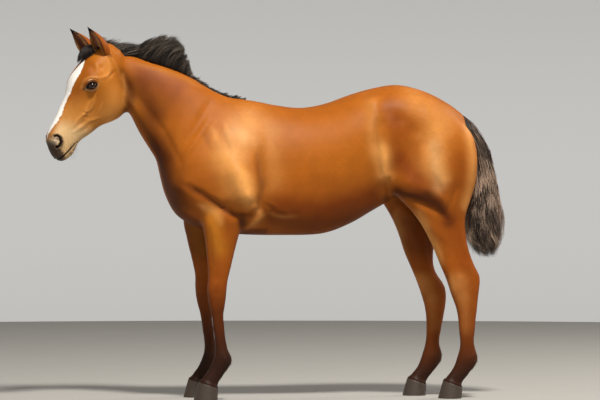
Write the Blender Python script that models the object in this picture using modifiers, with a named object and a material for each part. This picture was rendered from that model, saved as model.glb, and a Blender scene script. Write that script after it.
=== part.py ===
"""A young stock-type horse standing still, life size, 1.32 m at the withers.

Metres, +Z up. The head points towards -X and the left side towards -Y. The floor is z = 0. The flesh is one
closed body, lofted from rings along the trunk, the head and each leg, fused, modelled with
swellings and hollows, and then parted by thin cuts where a horseman names its parts.
"""

import math

import bmesh
import bpy
import numpy as np
from mathutils import Matrix, Vector

# ---------------------------------------------------------------- driving dimensions
GAP = 0.0004  # clearance left between neighbouring pieces
CUT = 0.0005  # thickness of the cuts that part the flesh
VOXEL = 0.0095  # grain of the fused flesh before it is thinned out
FLESH_TRIANGLES = 5300
SOFTENING = 16  # rounds of smoothing where the limbs flow into the trunk
RING_SIDES = 28

POLL = Vector((-0.720, 0.0, 1.545))  # top of the head, between the ears
HEAD_PITCH = math.radians(59.8)  # slope of the face below the horizontal
HEAD_TURN = math.radians(18)  # the nose is turned this far to the left

FORE_SIDE, HIND_SIDE = 0.120, 0.118  # a foot's distance from the middle plane

# Rings of the neck and trunk: top x, z, bottom x, z, half width, roundness, egg.
# Roundness 1 is an ellipse and less is squarer; egg is fuller above, or below if negative.
TRUNK = (
    (-0.720, 1.515, -0.690, 1.330, 0.050, 0.95, 0.00),  # inside the head
    (-0.653, 1.512, -0.648, 1.262, 0.062, 0.95, -0.10),  # throat latch
    (-0.555, 1.478, -0.604, 1.172, 0.070, 0.95, -0.15),
    (-0.458, 1.448, -0.560, 1.100, 0.082, 0.95, -0.20),  # middle of the neck
    (-0.369, 1.410, -0.526, 1.045, 0.099, 0.95, -0.25),
    (-0.289, 1.362, -0.509, 0.975, 0.124, 0.95, -0.30),  # root of the neck
    (-0.209, 1.326, -0.484, 0.889, 0.150, 0.92, -0.35),
    (-0.142, 1.316, -0.431, 0.800, 0.172, 0.90, -0.35),  # withers and breast
    (-0.076, 1.306, -0.311, 0.738, 0.186, 0.90, -0.30),
    (0.000, 1.291, -0.156, 0.719, 0.194, 0.90, -0.22),  # girth
    (0.111, 1.279, 0.044, 0.715, 0.204, 0.92, -0.12),
    (0.222, 1.298, 0.209, 0.722, 0.214, 0.94, -0.06),  # widest of the barrel
    (0.333, 1.338, 0.333, 0.766, 0.212, 0.94, 0.00),
    (0.440, 1.368, 0.440, 0.827, 0.204, 0.92, 0.04),  # flank
    (0.547, 1.382, 0.555, 0.889, 0.198, 0.90, 0.04),  # top of the croup
    (0.667, 1.353, 0.667, 0.924, 0.192, 0.92, 0.00),
    (0.769, 1.302, 0.764, 0.959, 0.166, 0.95, 0.00),
    (0.843, 1.250, 0.838, 1.040, 0.100, 1.00, 0.00),  # under the tail
)

# Rings of the head: distance down from the poll, face line, jaw line, half width,
# roundness, egg. The lines are measured square to the head's own axis.
HEAD = (
    (-0.010, -0.018, 0.040, 0.040, 1.00, 0.00),
    (0.030, -0.050, 0.090, 0.066, 0.95, 0.10),
    (0.075, -0.073, 0.122, 0.081, 0.92, 0.20),
    (0.118, -0.083, 0.148, 0.090, 0.90, 0.30),
    (0.152, -0.089, 0.174, 0.096, 0.88, 0.35),  # brow
    (0.190, -0.093, 0.198, 0.097, 0.86, 0.38),
    (0.225, -0.095, 0.200, 0.091, 0.86, 0.34),  # eyes and jowl
    (0.258, -0.089, 0.188, 0.080, 0.86, 0.26),
    (0.290, -0.079, 0.166, 0.070, 0.86, 0.16),
    (0.322, -0.075, 0.138, 0.062, 0.86, 0.10),
    (0.352, -0.074, 0.121, 0.056, 0.88, 0.06),
    (0.390, -0.071, 0.106, 0.051, 0.88, 0.05),
    (0.430, -0.069, 0.085, 0.048, 0.88, 0.10),
    (0.465, -0.068, 0.079, 0.050, 0.88, 0.15),
    (0.495, -0.063, 0.083, 0.052, 0.88, 0.10),  # nostrils
    (0.520, -0.047, 0.076, 0.048, 0.92, 0.00),
    (0.543, -0.020, 0.066, 0.041, 0.95, 0.00),
    (0.560, 0.006, 0.052, 0.026, 1.00, 0.00),  # lips
)

# Rings of the left legs: front x, z, rear x, z, middle y, half width, roundness, egg.
FORELEG = (
    (-0.350, 1.120, -0.150, 1.120, -0.085, 0.040, 1.00, 0.0),  # shoulder blade
    (-0.385, 0.959, -0.115, 0.965, -0.110, 0.060, 0.95, 0.0),
    (-0.362, 0.871, -0.100, 0.880, -0.116, 0.064, 0.95, 0.0),
    (-0.338, 0.810, -0.118, 0.827, -0.118, 0.062, 0.95, 0.0),  # elbow
    (-0.336, 0.761, -0.156, 0.761, -0.119, 0.058, 0.95, 0.1),
    (-0.326, 0.704, -0.178, 0.695, -0.120, 0.053, 0.95, 0.1),
    (-0.318, 0.642, -0.194, 0.634, -0.120, 0.046, 0.95, 0.1),
    (-0.313, 0.581, -0.208, 0.576, -0.120, 0.040, 0.92, 0.0),
    (-0.311, 0.532, -0.220, 0.528, -0.120, 0.037, 0.88, 0.0),
    (-0.314, 0.493, -0.226, 0.488, -0.120, 0.039, 0.82, 0.0),  # knee
    (-0.313, 0.453, -0.229, 0.449, -0.120, 0.040, 0.82, 0.0),
    (-0.306, 0.409, -0.235, 0.405, -0.120, 0.034, 0.88, 0.0),
    (-0.296, 0.370, -0.239, 0.365, -0.120, 0.026, 0.95, 0.2),
    (-0.287, 0.299, -0.233, 0.295, -0.120, 0.023, 0.95, 0.2),  # cannon
    (-0.279, 0.233, -0.223, 0.229, -0.120, 0.025, 0.95, 0.1),
    (-0.283, 0.194, -0.203, 0.172, -0.120, 0.033, 0.92, 0.0),  # fetlock
    (-0.303, 0.143, -0.233, 0.117, -0.120, 0.028, 0.95, 0.1),
    (-0.331, 0.103, -0.263, 0.072, -0.120, 0.030, 0.95, 0.1),  # pastern
    (-0.350, 0.078, -0.268, 0.048, -0.120, 0.038, 0.95, 0.0),  # coronet
    (-0.362, 0.046, -0.272, 0.014, -0.120, 0.042, 0.95, 0.0),  # cut away by the hoof
)
HIND_LEG = (
    (0.530, 1.276, 0.800, 1.240, -0.090, 0.060, 1.00, 0.0),  # hip
    (0.486, 1.135, 0.866, 1.157, -0.108, 0.082, 0.95, 0.0),
    (0.473, 1.025, 0.886, 1.056, -0.116, 0.094, 0.95, 0.0),  # thigh
    (0.486, 0.946, 0.879, 0.950, -0.120, 0.090, 0.95, 0.1),
    (0.531, 0.880, 0.855, 0.871, -0.122, 0.080, 0.95, 0.1),  # stifle
    (0.593, 0.814, 0.833, 0.805, -0.122, 0.067, 0.95, 0.1),
    (0.642, 0.744, 0.831, 0.748, -0.120, 0.056, 0.95, 0.1),  # gaskin
    (0.686, 0.656, 0.844, 0.664, -0.118, 0.045, 0.95, 0.1),
    (0.713, 0.590, 0.868, 0.594, -0.118, 0.039, 0.92, 0.2),
    (0.742, 0.524, 0.897, 0.532, -0.118, 0.039, 0.90, 0.3),  # hock
    (0.764, 0.458, 0.893, 0.475, -0.118, 0.039, 0.88, 0.2),
    (0.790, 0.383, 0.885, 0.405, -0.118, 0.033, 0.90, 0.1),
    (0.799, 0.304, 0.877, 0.321, -0.118, 0.027, 0.95, 0.1),  # cannon
    (0.804, 0.233, 0.871, 0.242, -0.118, 0.026, 0.95, 0.1),
    (0.793, 0.185, 0.886, 0.167, -0.118, 0.034, 0.92, 0.0),  # fetlock
    (0.776, 0.138, 0.851, 0.110, -0.118, 0.028, 0.95, 0.1),
    (0.749, 0.100, 0.817, 0.068, -0.118, 0.030, 0.95, 0.1),  # pastern
    (0.730, 0.076, 0.812, 0.044, -0.118, 0.038, 0.95, 0.0),  # coronet
    (0.718, 0.044, 0.808, 0.012, -0.118, 0.042, 0.95, 0.0),  # cut away by the hoof
)

RIGHT_HIND_LEG = (
    (0.530, 1.276, 0.800, 1.240, 0.090, 0.060, 1.00, 0.0),  # hip
    (0.486, 1.135, 0.862, 1.157, 0.104, 0.086, 0.95, 0.0),
    (0.468, 1.025, 0.878, 1.056, 0.112, 0.096, 0.95, 0.0),  # thigh
    (0.472, 0.930, 0.850, 0.946, 0.116, 0.092, 0.95, 0.1),
    (0.500, 0.858, 0.800, 0.860, 0.120, 0.080, 0.95, 0.1),  # stifle
    (0.540, 0.792, 0.762, 0.780, 0.120, 0.067, 0.95, 0.1),
    (0.571, 0.717, 0.742, 0.706, 0.118, 0.056, 0.95, 0.1),  # gaskin
    (0.596, 0.640, 0.731, 0.628, 0.118, 0.045, 0.95, 0.1),
    (0.626, 0.572, 0.738, 0.560, 0.118, 0.039, 0.92, 0.2),
    (0.655, 0.503, 0.782, 0.488, 0.118, 0.039, 0.90, 0.3),  # hock
    (0.680, 0.430, 0.790, 0.436, 0.118, 0.039, 0.88, 0.2),
    (0.693, 0.370, 0.782, 0.374, 0.118, 0.033, 0.90, 0.1),
    (0.696, 0.300, 0.770, 0.306, 0.118, 0.027, 0.95, 0.1),  # cannon
    (0.692, 0.233, 0.759, 0.236, 0.118, 0.026, 0.95, 0.1),
    (0.679, 0.187, 0.771, 0.167, 0.118, 0.034, 0.92, 0.0),  # fetlock
    (0.661, 0.138, 0.736, 0.110, 0.118, 0.028, 0.95, 0.1),
    (0.634, 0.100, 0.702, 0.068, 0.118, 0.030, 0.95, 0.1),  # pastern
    (0.612, 0.076, 0.694, 0.044, 0.118, 0.038, 0.95, 0.0),  # coronet
    (0.600, 0.044, 0.690, 0.012, 0.118, 0.042, 0.95, 0.0),  # cut away by the hoof
)
# The right foreleg stands a little ahead of the left one: height and shift in x.
FORE_CARRY = (
    (0.00, -0.020), (0.30, -0.022), (0.47, -0.026), (0.55, -0.032),
    (0.67, -0.051), (0.80, -0.060), (1.10, -0.030),
)

# Feet: middle of the coronet x, z, y, slope of the coronet, toe x and heel x on the floor.
HOOVES = {
    "left_fore": (-0.309, 0.063, -0.120, -0.374, -0.268),
    "right_fore": (-0.329, 0.063, 0.120, -0.394, -0.288),
    "left_hind": (0.771, 0.060, -0.118, 0.706, 0.808),
    "right_hind": (0.653, 0.060, 0.118, 0.588, 0.690),
}
CORONET_SLOPE = math.radians(20)
CORONET_LENGTH, CORONET_WIDTH = 0.086, 0.078
SOLE_WIDTH = 0.098
HOOF_SIDES = 18

EYE_PLACE = (0.221, -0.020)  # down and out, in the frame of the head
EYE_SIDE, EYE_RADIUS = 0.0860, 0.0205

# Ears: root down, side, out in the head's own frame, then the tip, length and width.
EARS = {
    "left": ((0.055, -0.048, -0.012), (0.007, -0.075, -0.162)),
    "right": ((0.062, 0.048, -0.030), (0.022, 0.064, -0.184)),
}
EAR_WIDTH, EAR_WALL = 0.058, 0.0035

# Rings of the hair: top x, z, bottom x, z, middle y, half width, roundness, egg.
MANE = (
    (-0.735, 1.562, -0.712, 1.520, 0.000, 0.018, 1.0, -0.2),
    (-0.690, 1.566, -0.680, 1.495, 0.002, 0.024, 1.0, -0.4),
    (-0.622, 1.558, -0.628, 1.475, 0.006, 0.028, 1.0, -0.5),
    (-0.580, 1.564, -0.596, 1.462, 0.008, 0.030, 1.0, -0.5),
    (-0.540, 1.575, -0.565, 1.450, 0.010, 0.032, 1.0, -0.5),
    (-0.500, 1.586, -0.535, 1.440, 0.012, 0.034, 1.0, -0.5),
    (-0.462, 1.586, -0.500, 1.430, 0.014, 0.034, 1.0, -0.5),
    (-0.430, 1.570, -0.465, 1.415, 0.014, 0.032, 1.0, -0.5),
    (-0.403, 1.535, -0.430, 1.400, 0.014, 0.028, 1.0, -0.4),
    (-0.385, 1.480, -0.400, 1.385, 0.012, 0.022, 1.0, -0.3),
    (-0.362, 1.428, -0.370, 1.370, 0.008, 0.016, 1.0, -0.2),
    (-0.310, 1.388, -0.315, 1.342, 0.004, 0.012, 1.0, 0.0),
    (-0.245, 1.348, -0.250, 1.308, 0.000, 0.010, 1.0, 0.0),
    (-0.180, 1.331, -0.185, 1.290, 0.000, 0.008, 1.0, 0.0),
    (-0.130, 1.320, -0.135, 1.285, 0.000, 0.006, 1.0, 0.0),
)
# Rings of the tail, from its root at the end of the spine: left edge x, z, right edge x, z.
TAIL = (
    (0.800, 1.225, 0.842, 1.268, 0.000, 0.022, 1.0, 0.0),
    (0.838, 1.170, 0.900, 1.230, 0.000, 0.030, 1.0, 0.0),
    (0.868, 1.110, 0.938, 1.162, 0.000, 0.034, 1.0, 0.0),
    (0.886, 1.040, 0.970, 1.080, 0.000, 0.038, 1.0, 0.0),
    (0.893, 0.960, 0.988, 0.985, 0.000, 0.044, 1.0, 0.0),
    (0.880, 0.880, 1.002, 0.900, 0.000, 0.052, 1.0, 0.0),
    (0.858, 0.810, 1.010, 0.815, 0.000, 0.056, 1.0, 0.0),
    (0.850, 0.745, 1.014, 0.745, 0.000, 0.056, 1.0, 0.0),
    (0.862, 0.690, 1.008, 0.690, 0.000, 0.050, 1.0, 0.0),
    (0.892, 0.640, 0.990, 0.645, 0.000, 0.036, 1.0, 0.0),
    (0.930, 0.606, 0.982, 0.610, 0.000, 0.016, 1.0, 0.0),
)
# Rings of the forelock, in the head's frame: down, out at the top, out at the root, side, half width.
FORELOCK = (
    (0.000, -0.052, -0.010, -0.004, 0.014),
    (0.030, -0.086, -0.036, -0.005, 0.015),
    (0.062, -0.122, -0.058, -0.006, 0.015),
    (0.095, -0.132, -0.070, -0.004, 0.022),
    (0.128, -0.126, -0.080, 0.002, 0.028),
    (0.154, -0.116, -0.088, 0.004, 0.020),
    (0.170, -0.108, -0.092, 0.004, 0.010),
)

# Swellings and hollows of the sides: path of x, z, spread, height.
BODY_FORMS = (
    (((-0.218, 1.047), (-0.156, 0.906)), 0.045, 0.014),  # triceps
    (((-0.129, 0.832),), 0.020, 0.012),  # elbow
    (((-0.427, 0.924),), 0.040, 0.014),  # point of the shoulder
    (((-0.293, 1.300), (-0.449, 1.047)), 0.022, -0.007),  # front edge of the shoulder blade
    (((-0.235, 0.849),), 0.018, -0.010),  # below the triceps
    (((-0.084, 0.871), (-0.058, 0.760)), 0.020, -0.008),  # behind the elbow
    (((-0.115, 1.240), (-0.084, 1.000)), 0.028, -0.006),  # behind the shoulder blade
    (((0.431, 1.240), (0.440, 1.090), (0.467, 0.994)), 0.028, -0.012),  # flank
    (((0.405, 1.298),), 0.026, 0.010),  # point of the hip
    (((0.530, 1.225),), 0.034, -0.005),
    (((0.730, 1.130), (0.750, 0.970)), 0.050, 0.009),  # back of the thigh
    (((0.662, 0.985), (0.738, 0.850)), 0.015, -0.007),  # groove of the thigh
    (((0.560, 0.900),), 0.034, 0.008),  # stifle
)
# The same of the head, in its own frame: path of down, out, spread, height.
HEAD_FORMS = (
    (((0.200, -0.046), (0.238, -0.044)), 0.015, 0.007),  # rim above the eye
    (((0.150, -0.055),), 0.018, -0.006),  # temple
    (((0.272, 0.010), (0.350, 0.022)), 0.011, 0.006),  # facial crest
    (((0.245, 0.110),), 0.052, 0.006),  # cheek
    (((0.320, -0.038), (0.430, -0.030)), 0.018, -0.005),  # beside the nasal bone
    (((0.370, 0.060),), 0.024, -0.004),
    (((0.495, -0.030),), 0.022, 0.005),  # nostril
    (((0.495, -0.024),), 0.010, -0.010),
    (((0.462, 0.054), (0.545, 0.038)), 0.008, -0.005),  # mouth
)


# ---------------------------------------------------------------- small helpers
def clear_scene():
    for obj in list(bpy.data.objects):
        bpy.data.objects.remove(obj, do_unlink=True)


def new_object(name, mesh, collection):
    obj = bpy.data.objects.new(name, mesh)
    collection.objects.link(obj)
    return obj


def applied(obj, name):
    """A new mesh object with the modifiers of obj applied; obj is removed."""
    graph = bpy.context.evaluated_depsgraph_get()
    mesh = bpy.data.meshes.new_from_object(obj.evaluated_get(graph))
    collection = obj.users_collection[0]
    bpy.data.objects.remove(obj, do_unlink=True)
    return new_object(name, mesh, collection)


def points_of(obj):
    co = np.empty(len(obj.data.vertices) * 3)
    obj.data.vertices.foreach_get("co", co)
    return co.reshape(-1, 3)


def normals_of(obj):
    no = np.empty(len(obj.data.vertices) * 3)
    obj.data.vertices.foreach_get("normal", no)
    return no.reshape(-1, 3)


def set_points(obj, co):
    obj.data.vertices.foreach_set("co", co.ravel())
    obj.data.update()


def smoothed(stations, per_gap):
    """More rings between the given ones, on a curve that passes through them all."""
    given = np.array(stations, float)
    ends = np.vstack([2 * given[0] - given[1], given, 2 * given[-1] - given[-2]])
    rows = []
    for before, start, end, after in zip(ends, ends[1:], ends[2:], ends[3:]):
        for t in np.arange(per_gap) / per_gap:
            bend = 2 * before - 5 * start + 4 * end - after
            twist = 3 * start - before - 3 * end + after
            rows.append(start + 0.5 * ((end - before) * t + bend * t * t + twist * t**3))
    rows.append(given[-1])
    return np.array(rows)


def ring(station, sides=RING_SIDES):
    """Points of one ring: front or top point a, rear or bottom point b, in the y plane given."""
    ax, az, bx, bz, y, half_width, roundness, egg = station
    turn = np.arange(sides) * 2 * math.pi / sides
    along = np.sign(np.cos(turn)) * np.abs(np.cos(turn)) ** roundness
    across = np.sign(np.sin(turn)) * np.abs(np.sin(turn)) ** roundness * (1 + egg * along)
    x = (ax + bx) / 2 + along * (ax - bx) / 2
    z = (az + bz) / 2 + along * (az - bz) / 2
    return np.column_stack([x, y + across * half_width, z])


def loft(name, rings, collection, crescent=False):
    """A closed skin over a row of rings, its ends closed by fans, or by strips for crescents."""
    bm = bmesh.new()
    rows = [[bm.verts.new(p) for p in points] for points in rings]
    for low, high in zip(rows, rows[1:]):
        for i, corner in enumerate(low):
            bm.faces.new((corner, low[i - 1], high[i - 1], high[i]))
    for row in (rows[0], rows[-1]):
        if crescent:
            for i in range(len(row) // 2 - 1):
                bm.faces.new((row[i], row[i + 1], row[-i - 2], row[-i - 1]))
        else:
            middle = bm.verts.new(sum((v.co for v in row), Vector()) / len(row))
            for i, corner in enumerate(row):
                bm.faces.new((middle, row[i - 1], corner))
    bmesh.ops.recalc_face_normals(bm, faces=bm.faces)
    mesh = bpy.data.meshes.new(name)
    bm.to_mesh(mesh)
    bm.free()
    return new_object(name, mesh, collection)


# ---------------------------------------------------------------- the flesh
def head_place(down, side, out):
    """A point of the head: down from the poll, to the right side, and out towards the jaw."""
    down, side, out = (np.asarray(v, float) for v in (down, side, out))
    forward = math.cos(HEAD_PITCH) * down - math.sin(HEAD_PITCH) * out
    fall = math.sin(HEAD_PITCH) * down + math.cos(HEAD_PITCH) * out
    x = POLL.x - forward * math.cos(HEAD_TURN) - side * math.sin(HEAD_TURN)
    y = POLL.y - forward * math.sin(HEAD_TURN) + side * math.cos(HEAD_TURN)
    return np.stack(np.broadcast_arrays(x, y, POLL.z - fall), axis=-1)


def head_frame():
    """Rows that turn a world direction into down, side and out of the head."""
    origin = head_place(0, 0, 0)
    return np.array([head_place(*axis) - origin for axis in np.eye(3)])


def trunk(collection):
    rows = [(*s[:4], 0.0, *s[4:]) for s in smoothed(TRUNK, 4)]
    return loft("trunk_loft", [ring(row) for row in rows], collection)


def head(collection):
    rings = []
    for down, face, jaw, half_width, roundness, egg in smoothed(HEAD, 4):
        flat = ring((face, 0, jaw, 0, 0.0, half_width, roundness, egg))
        rings.append(head_place(down, flat[:, 1], flat[:, 0]))
    return loft("head_loft", rings, collection)


def carried(points, carry):
    """Points of a left leg mirrored to the right, with each height moved as carry says."""
    heights, shift = np.array(carry).T
    moved = points * (1, -1, 1)
    moved[:, 0] += np.interp(points[:, 2], heights, shift)
    return moved


def legs(collection):
    fore = [ring(row) for row in smoothed(FORELEG, 4)]
    loft("left_foreleg", fore, collection)
    loft("right_foreleg", [carried(points, FORE_CARRY) for points in fore], collection)
    loft("left_hind_leg", [ring(row) for row in smoothed(HIND_LEG, 4)], collection)
    loft("right_hind_leg", [ring(row) for row in smoothed(RIGHT_HIND_LEG, 4)], collection)


def fused(name, pieces, collection):
    """The pieces joined into one skin, and its joins softened."""
    bm = bmesh.new()
    for piece in pieces:
        bm.from_mesh(piece.data)
        bpy.data.objects.remove(piece, do_unlink=True)
    mesh = bpy.data.meshes.new(name)
    bm.to_mesh(mesh)
    bm.free()
    obj = new_object(name, mesh, collection)
    remesh = obj.modifiers.new("fuse", "REMESH")
    remesh.mode = "VOXEL"
    remesh.voxel_size = VOXEL
    obj = applied(obj, name)
    co = points_of(obj)
    loose = np.clip((co[:, 2] - 0.62) / 0.25, 0, 1) * np.clip((co[:, 0] + 0.72) / 0.1, 0, 1)
    group = obj.vertex_groups.new(name="loose")
    for index, value in enumerate(0.25 + 0.75 * loose):
        group.add([index], float(value), "REPLACE")
    soften = obj.modifiers.new("soften", "SMOOTH")
    soften.factor = 0.5
    soften.iterations = SOFTENING
    soften.vertex_group = "loose"
    return applied(obj, name)


def path_distance(flat, path):
    """Distance of each flat point from a path of one or more points."""
    path = np.array(path)
    best = np.linalg.norm(flat - path[0], axis=1)
    for start, end in zip(path, path[1:]):
        step = end - start
        t = np.clip((flat - start) @ step / (step @ step), 0, 1)
        best = np.minimum(best, np.linalg.norm(flat - start - t[:, None] * step, axis=1))
    return best


def modelled(obj):
    """Raise and sink the flesh along the paths of the form tables, on both sides."""
    co, no = points_of(obj), normals_of(obj)
    lift = np.zeros(len(co))
    behind = np.clip((co[:, 0] + 0.68) / 0.03, 0, 1)
    for path, spread, height in BODY_FORMS:
        near = np.exp(-(path_distance(co[:, [0, 2]], path) / spread) ** 2)
        lift += height * near * np.clip(1.6 * np.abs(no[:, 1]), 0, 1) * behind
    frame = head_frame()
    place = (co - np.array(POLL)) @ frame.T
    facing = no @ frame.T
    for path, spread, height in HEAD_FORMS:
        near = np.exp(-(path_distance(place[:, [0, 2]], path) / spread) ** 2)
        lift += height * near * np.clip(1.6 * np.abs(facing[:, 1]), 0, 1) * (1 - behind)
    set_points(obj, co + no * lift[:, None])


def thinned(obj, triangles):
    thin = obj.modifiers.new("thin", "DECIMATE")
    thin.ratio = triangles / (2 * len(obj.data.polygons))
    return applied(obj, obj.name)


def flesh(collection):
    trunk(collection)
    head(collection)
    legs(collection)
    body = fused("flesh", list(collection.objects), collection)
    modelled(body)
    return thinned(body, FLESH_TRIANGLES)


# ---------------------------------------------------------------- cuts
def slab(name, centre, size, tilt, collection):
    """A thin or thick box, tilted about Y."""
    bm = bmesh.new()
    bmesh.ops.create_cube(bm, size=1.0, matrix=Matrix.Diagonal((*size, 1.0)))
    place = Matrix.Translation(centre) @ Matrix.Rotation(tilt, 4, "Y")
    bmesh.ops.transform(bm, matrix=place, verts=bm.verts)
    mesh = bpy.data.meshes.new(name)
    bm.to_mesh(mesh)
    bm.free()
    cutter = new_object(name, mesh, collection)
    cutter.hide_render = True
    cutter.display_type = "WIRE"
    return cutter


def ball(name, centre, radius, columns, rows, collection):
    bm = bmesh.new()
    bmesh.ops.create_uvsphere(bm, u_segments=columns, v_segments=rows, radius=radius,
                              matrix=Matrix.Translation(centre))
    mesh = bpy.data.meshes.new(name)
    bm.to_mesh(mesh)
    bm.free()
    return new_object(name, mesh, collection)


def without(obj, cutter):
    """The object less the cutter."""
    cut = obj.modifiers.new("cut", "BOOLEAN")
    cut.operation = "DIFFERENCE"
    cut.solver = "EXACT"
    cut.object = cutter
    return applied(obj, obj.name)


def hidden(obj, guides):
    """Move an object among the guides."""
    for collection in obj.users_collection:
        collection.objects.unlink(obj)
    guides.objects.link(obj)
    obj.hide_render = True
    obj.display_type = "WIRE"
    return obj


def swollen(obj, name, margin, guides):
    """A copy of the object grown by a margin all round."""
    copy = new_object(name, obj.data.copy(), guides)
    co, no = points_of(copy), normals_of(copy)
    set_points(copy, co + no * margin)
    copy.hide_render = True
    copy.display_type = "WIRE"
    return copy


def parted(obj, marks, collection):
    """The loose pieces of obj, each named after the nearest mark."""
    bm = bmesh.new()
    bm.from_mesh(obj.data)
    bpy.data.objects.remove(obj, do_unlink=True)
    pieces = []
    left = set(bm.verts)
    while left:
        island, front = set(), [left.pop()]
        while front:
            corner = front.pop()
            island.add(corner)
            reached = {edge.other_vert(corner) for edge in corner.link_edges} & left
            left -= reached
            front.extend(reached)
        pieces.append(island)
    found = {}
    for island in pieces:
        middle = sum((v.co for v in island), Vector()) / len(island)
        name = min(marks, key=lambda key: (middle - Vector(marks[key])).length)
        found[name] = island
    objects = {}
    for name, island in found.items():
        part = bm.copy()
        part.verts.ensure_lookup_table()
        keep = {v.index for v in island}
        bmesh.ops.delete(part, geom=[v for v in part.verts if v.index not in keep], context="VERTS")
        bmesh.ops.dissolve_degenerate(part, dist=0.00005, edges=part.edges)
        mesh = bpy.data.meshes.new(name)
        part.to_mesh(mesh)
        part.free()
        objects[name] = new_object(name, mesh, collection)
    bm.free()
    return objects


# ---------------------------------------------------------------- hooves, ears, hair
def hoof(name, spec, collection):
    """A hoof: an oval coronet, flaring walls and a flat sole on the floor."""
    x, z, y, toe, heel = spec
    turn = np.arange(HOOF_SIDES) * 2 * math.pi / HOOF_SIDES
    rings = []
    for drop in (0.0, 0.93, 1.0):
        bevel = 0.97 if drop == 1.0 else 1.0
        length = CORONET_LENGTH + (heel - toe - CORONET_LENGTH) * drop
        width = CORONET_WIDTH + (SOLE_WIDTH - CORONET_WIDTH) * drop
        middle = x + ((toe + heel) / 2 - x) * drop
        along = -np.cos(turn) * length / 2 * bevel
        across = np.sin(turn) * (1 - 0.10 * np.cos(turn)) * width / 2 * bevel
        height = (z - along * math.tan(CORONET_SLOPE)) * (1 - drop)
        rings.append(np.column_stack([middle + along, y + across, height]))
    return loft(name, rings, collection)


def ear(name, spec, collection):
    """A cupped leaf: crescents carried from the root to the tip."""
    root, tip = (head_place(*place) for place in spec)
    axis = (tip - root) / np.linalg.norm(tip - root)
    facing = head_place(0.5, 0.35 * np.sign(spec[0][1]), -0.6) - head_place(0, 0, 0)
    facing -= axis * (facing @ axis)
    facing /= np.linalg.norm(facing)
    across = np.cross(axis, facing)
    rings = []
    for t in (0.0, 0.14, 0.35, 0.60, 0.82, 0.97):
        width = EAR_WIDTH / 2 * (0.72 + 1.5 * t) if t < 0.2 else EAR_WIDTH / 2 * math.cos((t - 0.2) * 1.72)**0.75
        reach = math.radians(150 - 75 * t)
        arc = np.linspace(-reach, reach, 7)
        wall = EAR_WALL * (1 - 0.5 * t)
        outer = np.column_stack([np.sin(arc), -np.cos(arc)]) * width
        inner = outer[::-1] * (1 - wall / width)
        lean = root + axis * np.linalg.norm(tip - root) * t
        section = np.vstack([outer, inner])
        rings.append(lean + section[:, :1] * across + (section[:, 1:] + 0.4 * width) * facing)
    return loft(name, rings, collection, crescent=True)


def hair(name, stations, per_gap, sides, collection):
    return loft(name, [ring(row, sides) for row in smoothed(stations, per_gap)], collection)


def forelock(collection):
    rings = []
    for down, out, root, side, half_width in smoothed(FORELOCK, 1):
        flat = ring((out, 0, root, 0, side, half_width, 1.0, 0.0), 10)
        rings.append(head_place(down, flat[:, 1], flat[:, 0]))
    return loft("forelock", rings, collection)


def painted(obj, name, colour, roughness):
    material = bpy.data.materials.new(name)
    material.use_nodes = True
    shader = material.node_tree.nodes["Principled BSDF"]
    shader.inputs["Base Color"].default_value = (*colour, 1.0)
    shader.inputs["Roughness"].default_value = roughness
    obj.data.materials.clear()
    obj.data.materials.append(material)
    return obj


# ---------------------------------------------------------------- building
MARKS = {
    "head": (-0.83, -0.03, 1.36),
    "neck": (-0.48, 0.0, 1.27),
    "trunk": (0.20, 0.0, 1.02),
    "left_forearm": (-0.26, -0.12, 0.62),
    "right_forearm": (-0.31, 0.12, 0.62),
    "left_fore_cannon": (-0.27, -0.12, 0.30),
    "right_fore_cannon": (-0.30, 0.12, 0.30),
    "left_gaskin": (0.76, -0.12, 0.72),
    "right_gaskin": (0.67, 0.12, 0.72),
    "left_hind_cannon": (0.82, -0.12, 0.32),
    "right_hind_cannon": (0.72, 0.12, 0.32),
}
# Cuts through the flesh: middle, size, tilt about Y.
CUTS = (
    ((-0.659, 0.0, 1.410), (CUT, 0.50, 0.50), math.radians(-7.3)),  # throat
    ((-0.351, 0.0, 1.150), (CUT, 0.60, 0.60), math.radians(41.2)),  # root of the neck
    ((-0.275, 0.0, 0.712), (0.35, 0.50, CUT), 0.0),  # forearms
    ((0.700, 0.0, 0.840), (0.44, 0.50, CUT), 0.0),  # thighs
    ((-0.275, 0.0, 0.530), (0.35, 0.50, CUT), 0.0),  # knees
    ((0.750, 0.0, 0.585), (0.44, 0.50, CUT), 0.0),  # hocks
)


def settled(obj, root):
    """Put the object's own origin at its middle and hang it on the root."""
    co = points_of(obj)
    middle = Vector((co.min(axis=0) + co.max(axis=0)) / 2)
    obj.data.transform(Matrix.Translation(-middle))
    obj.location = middle
    obj.parent = root
    obj.data.shade_smooth()


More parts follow.
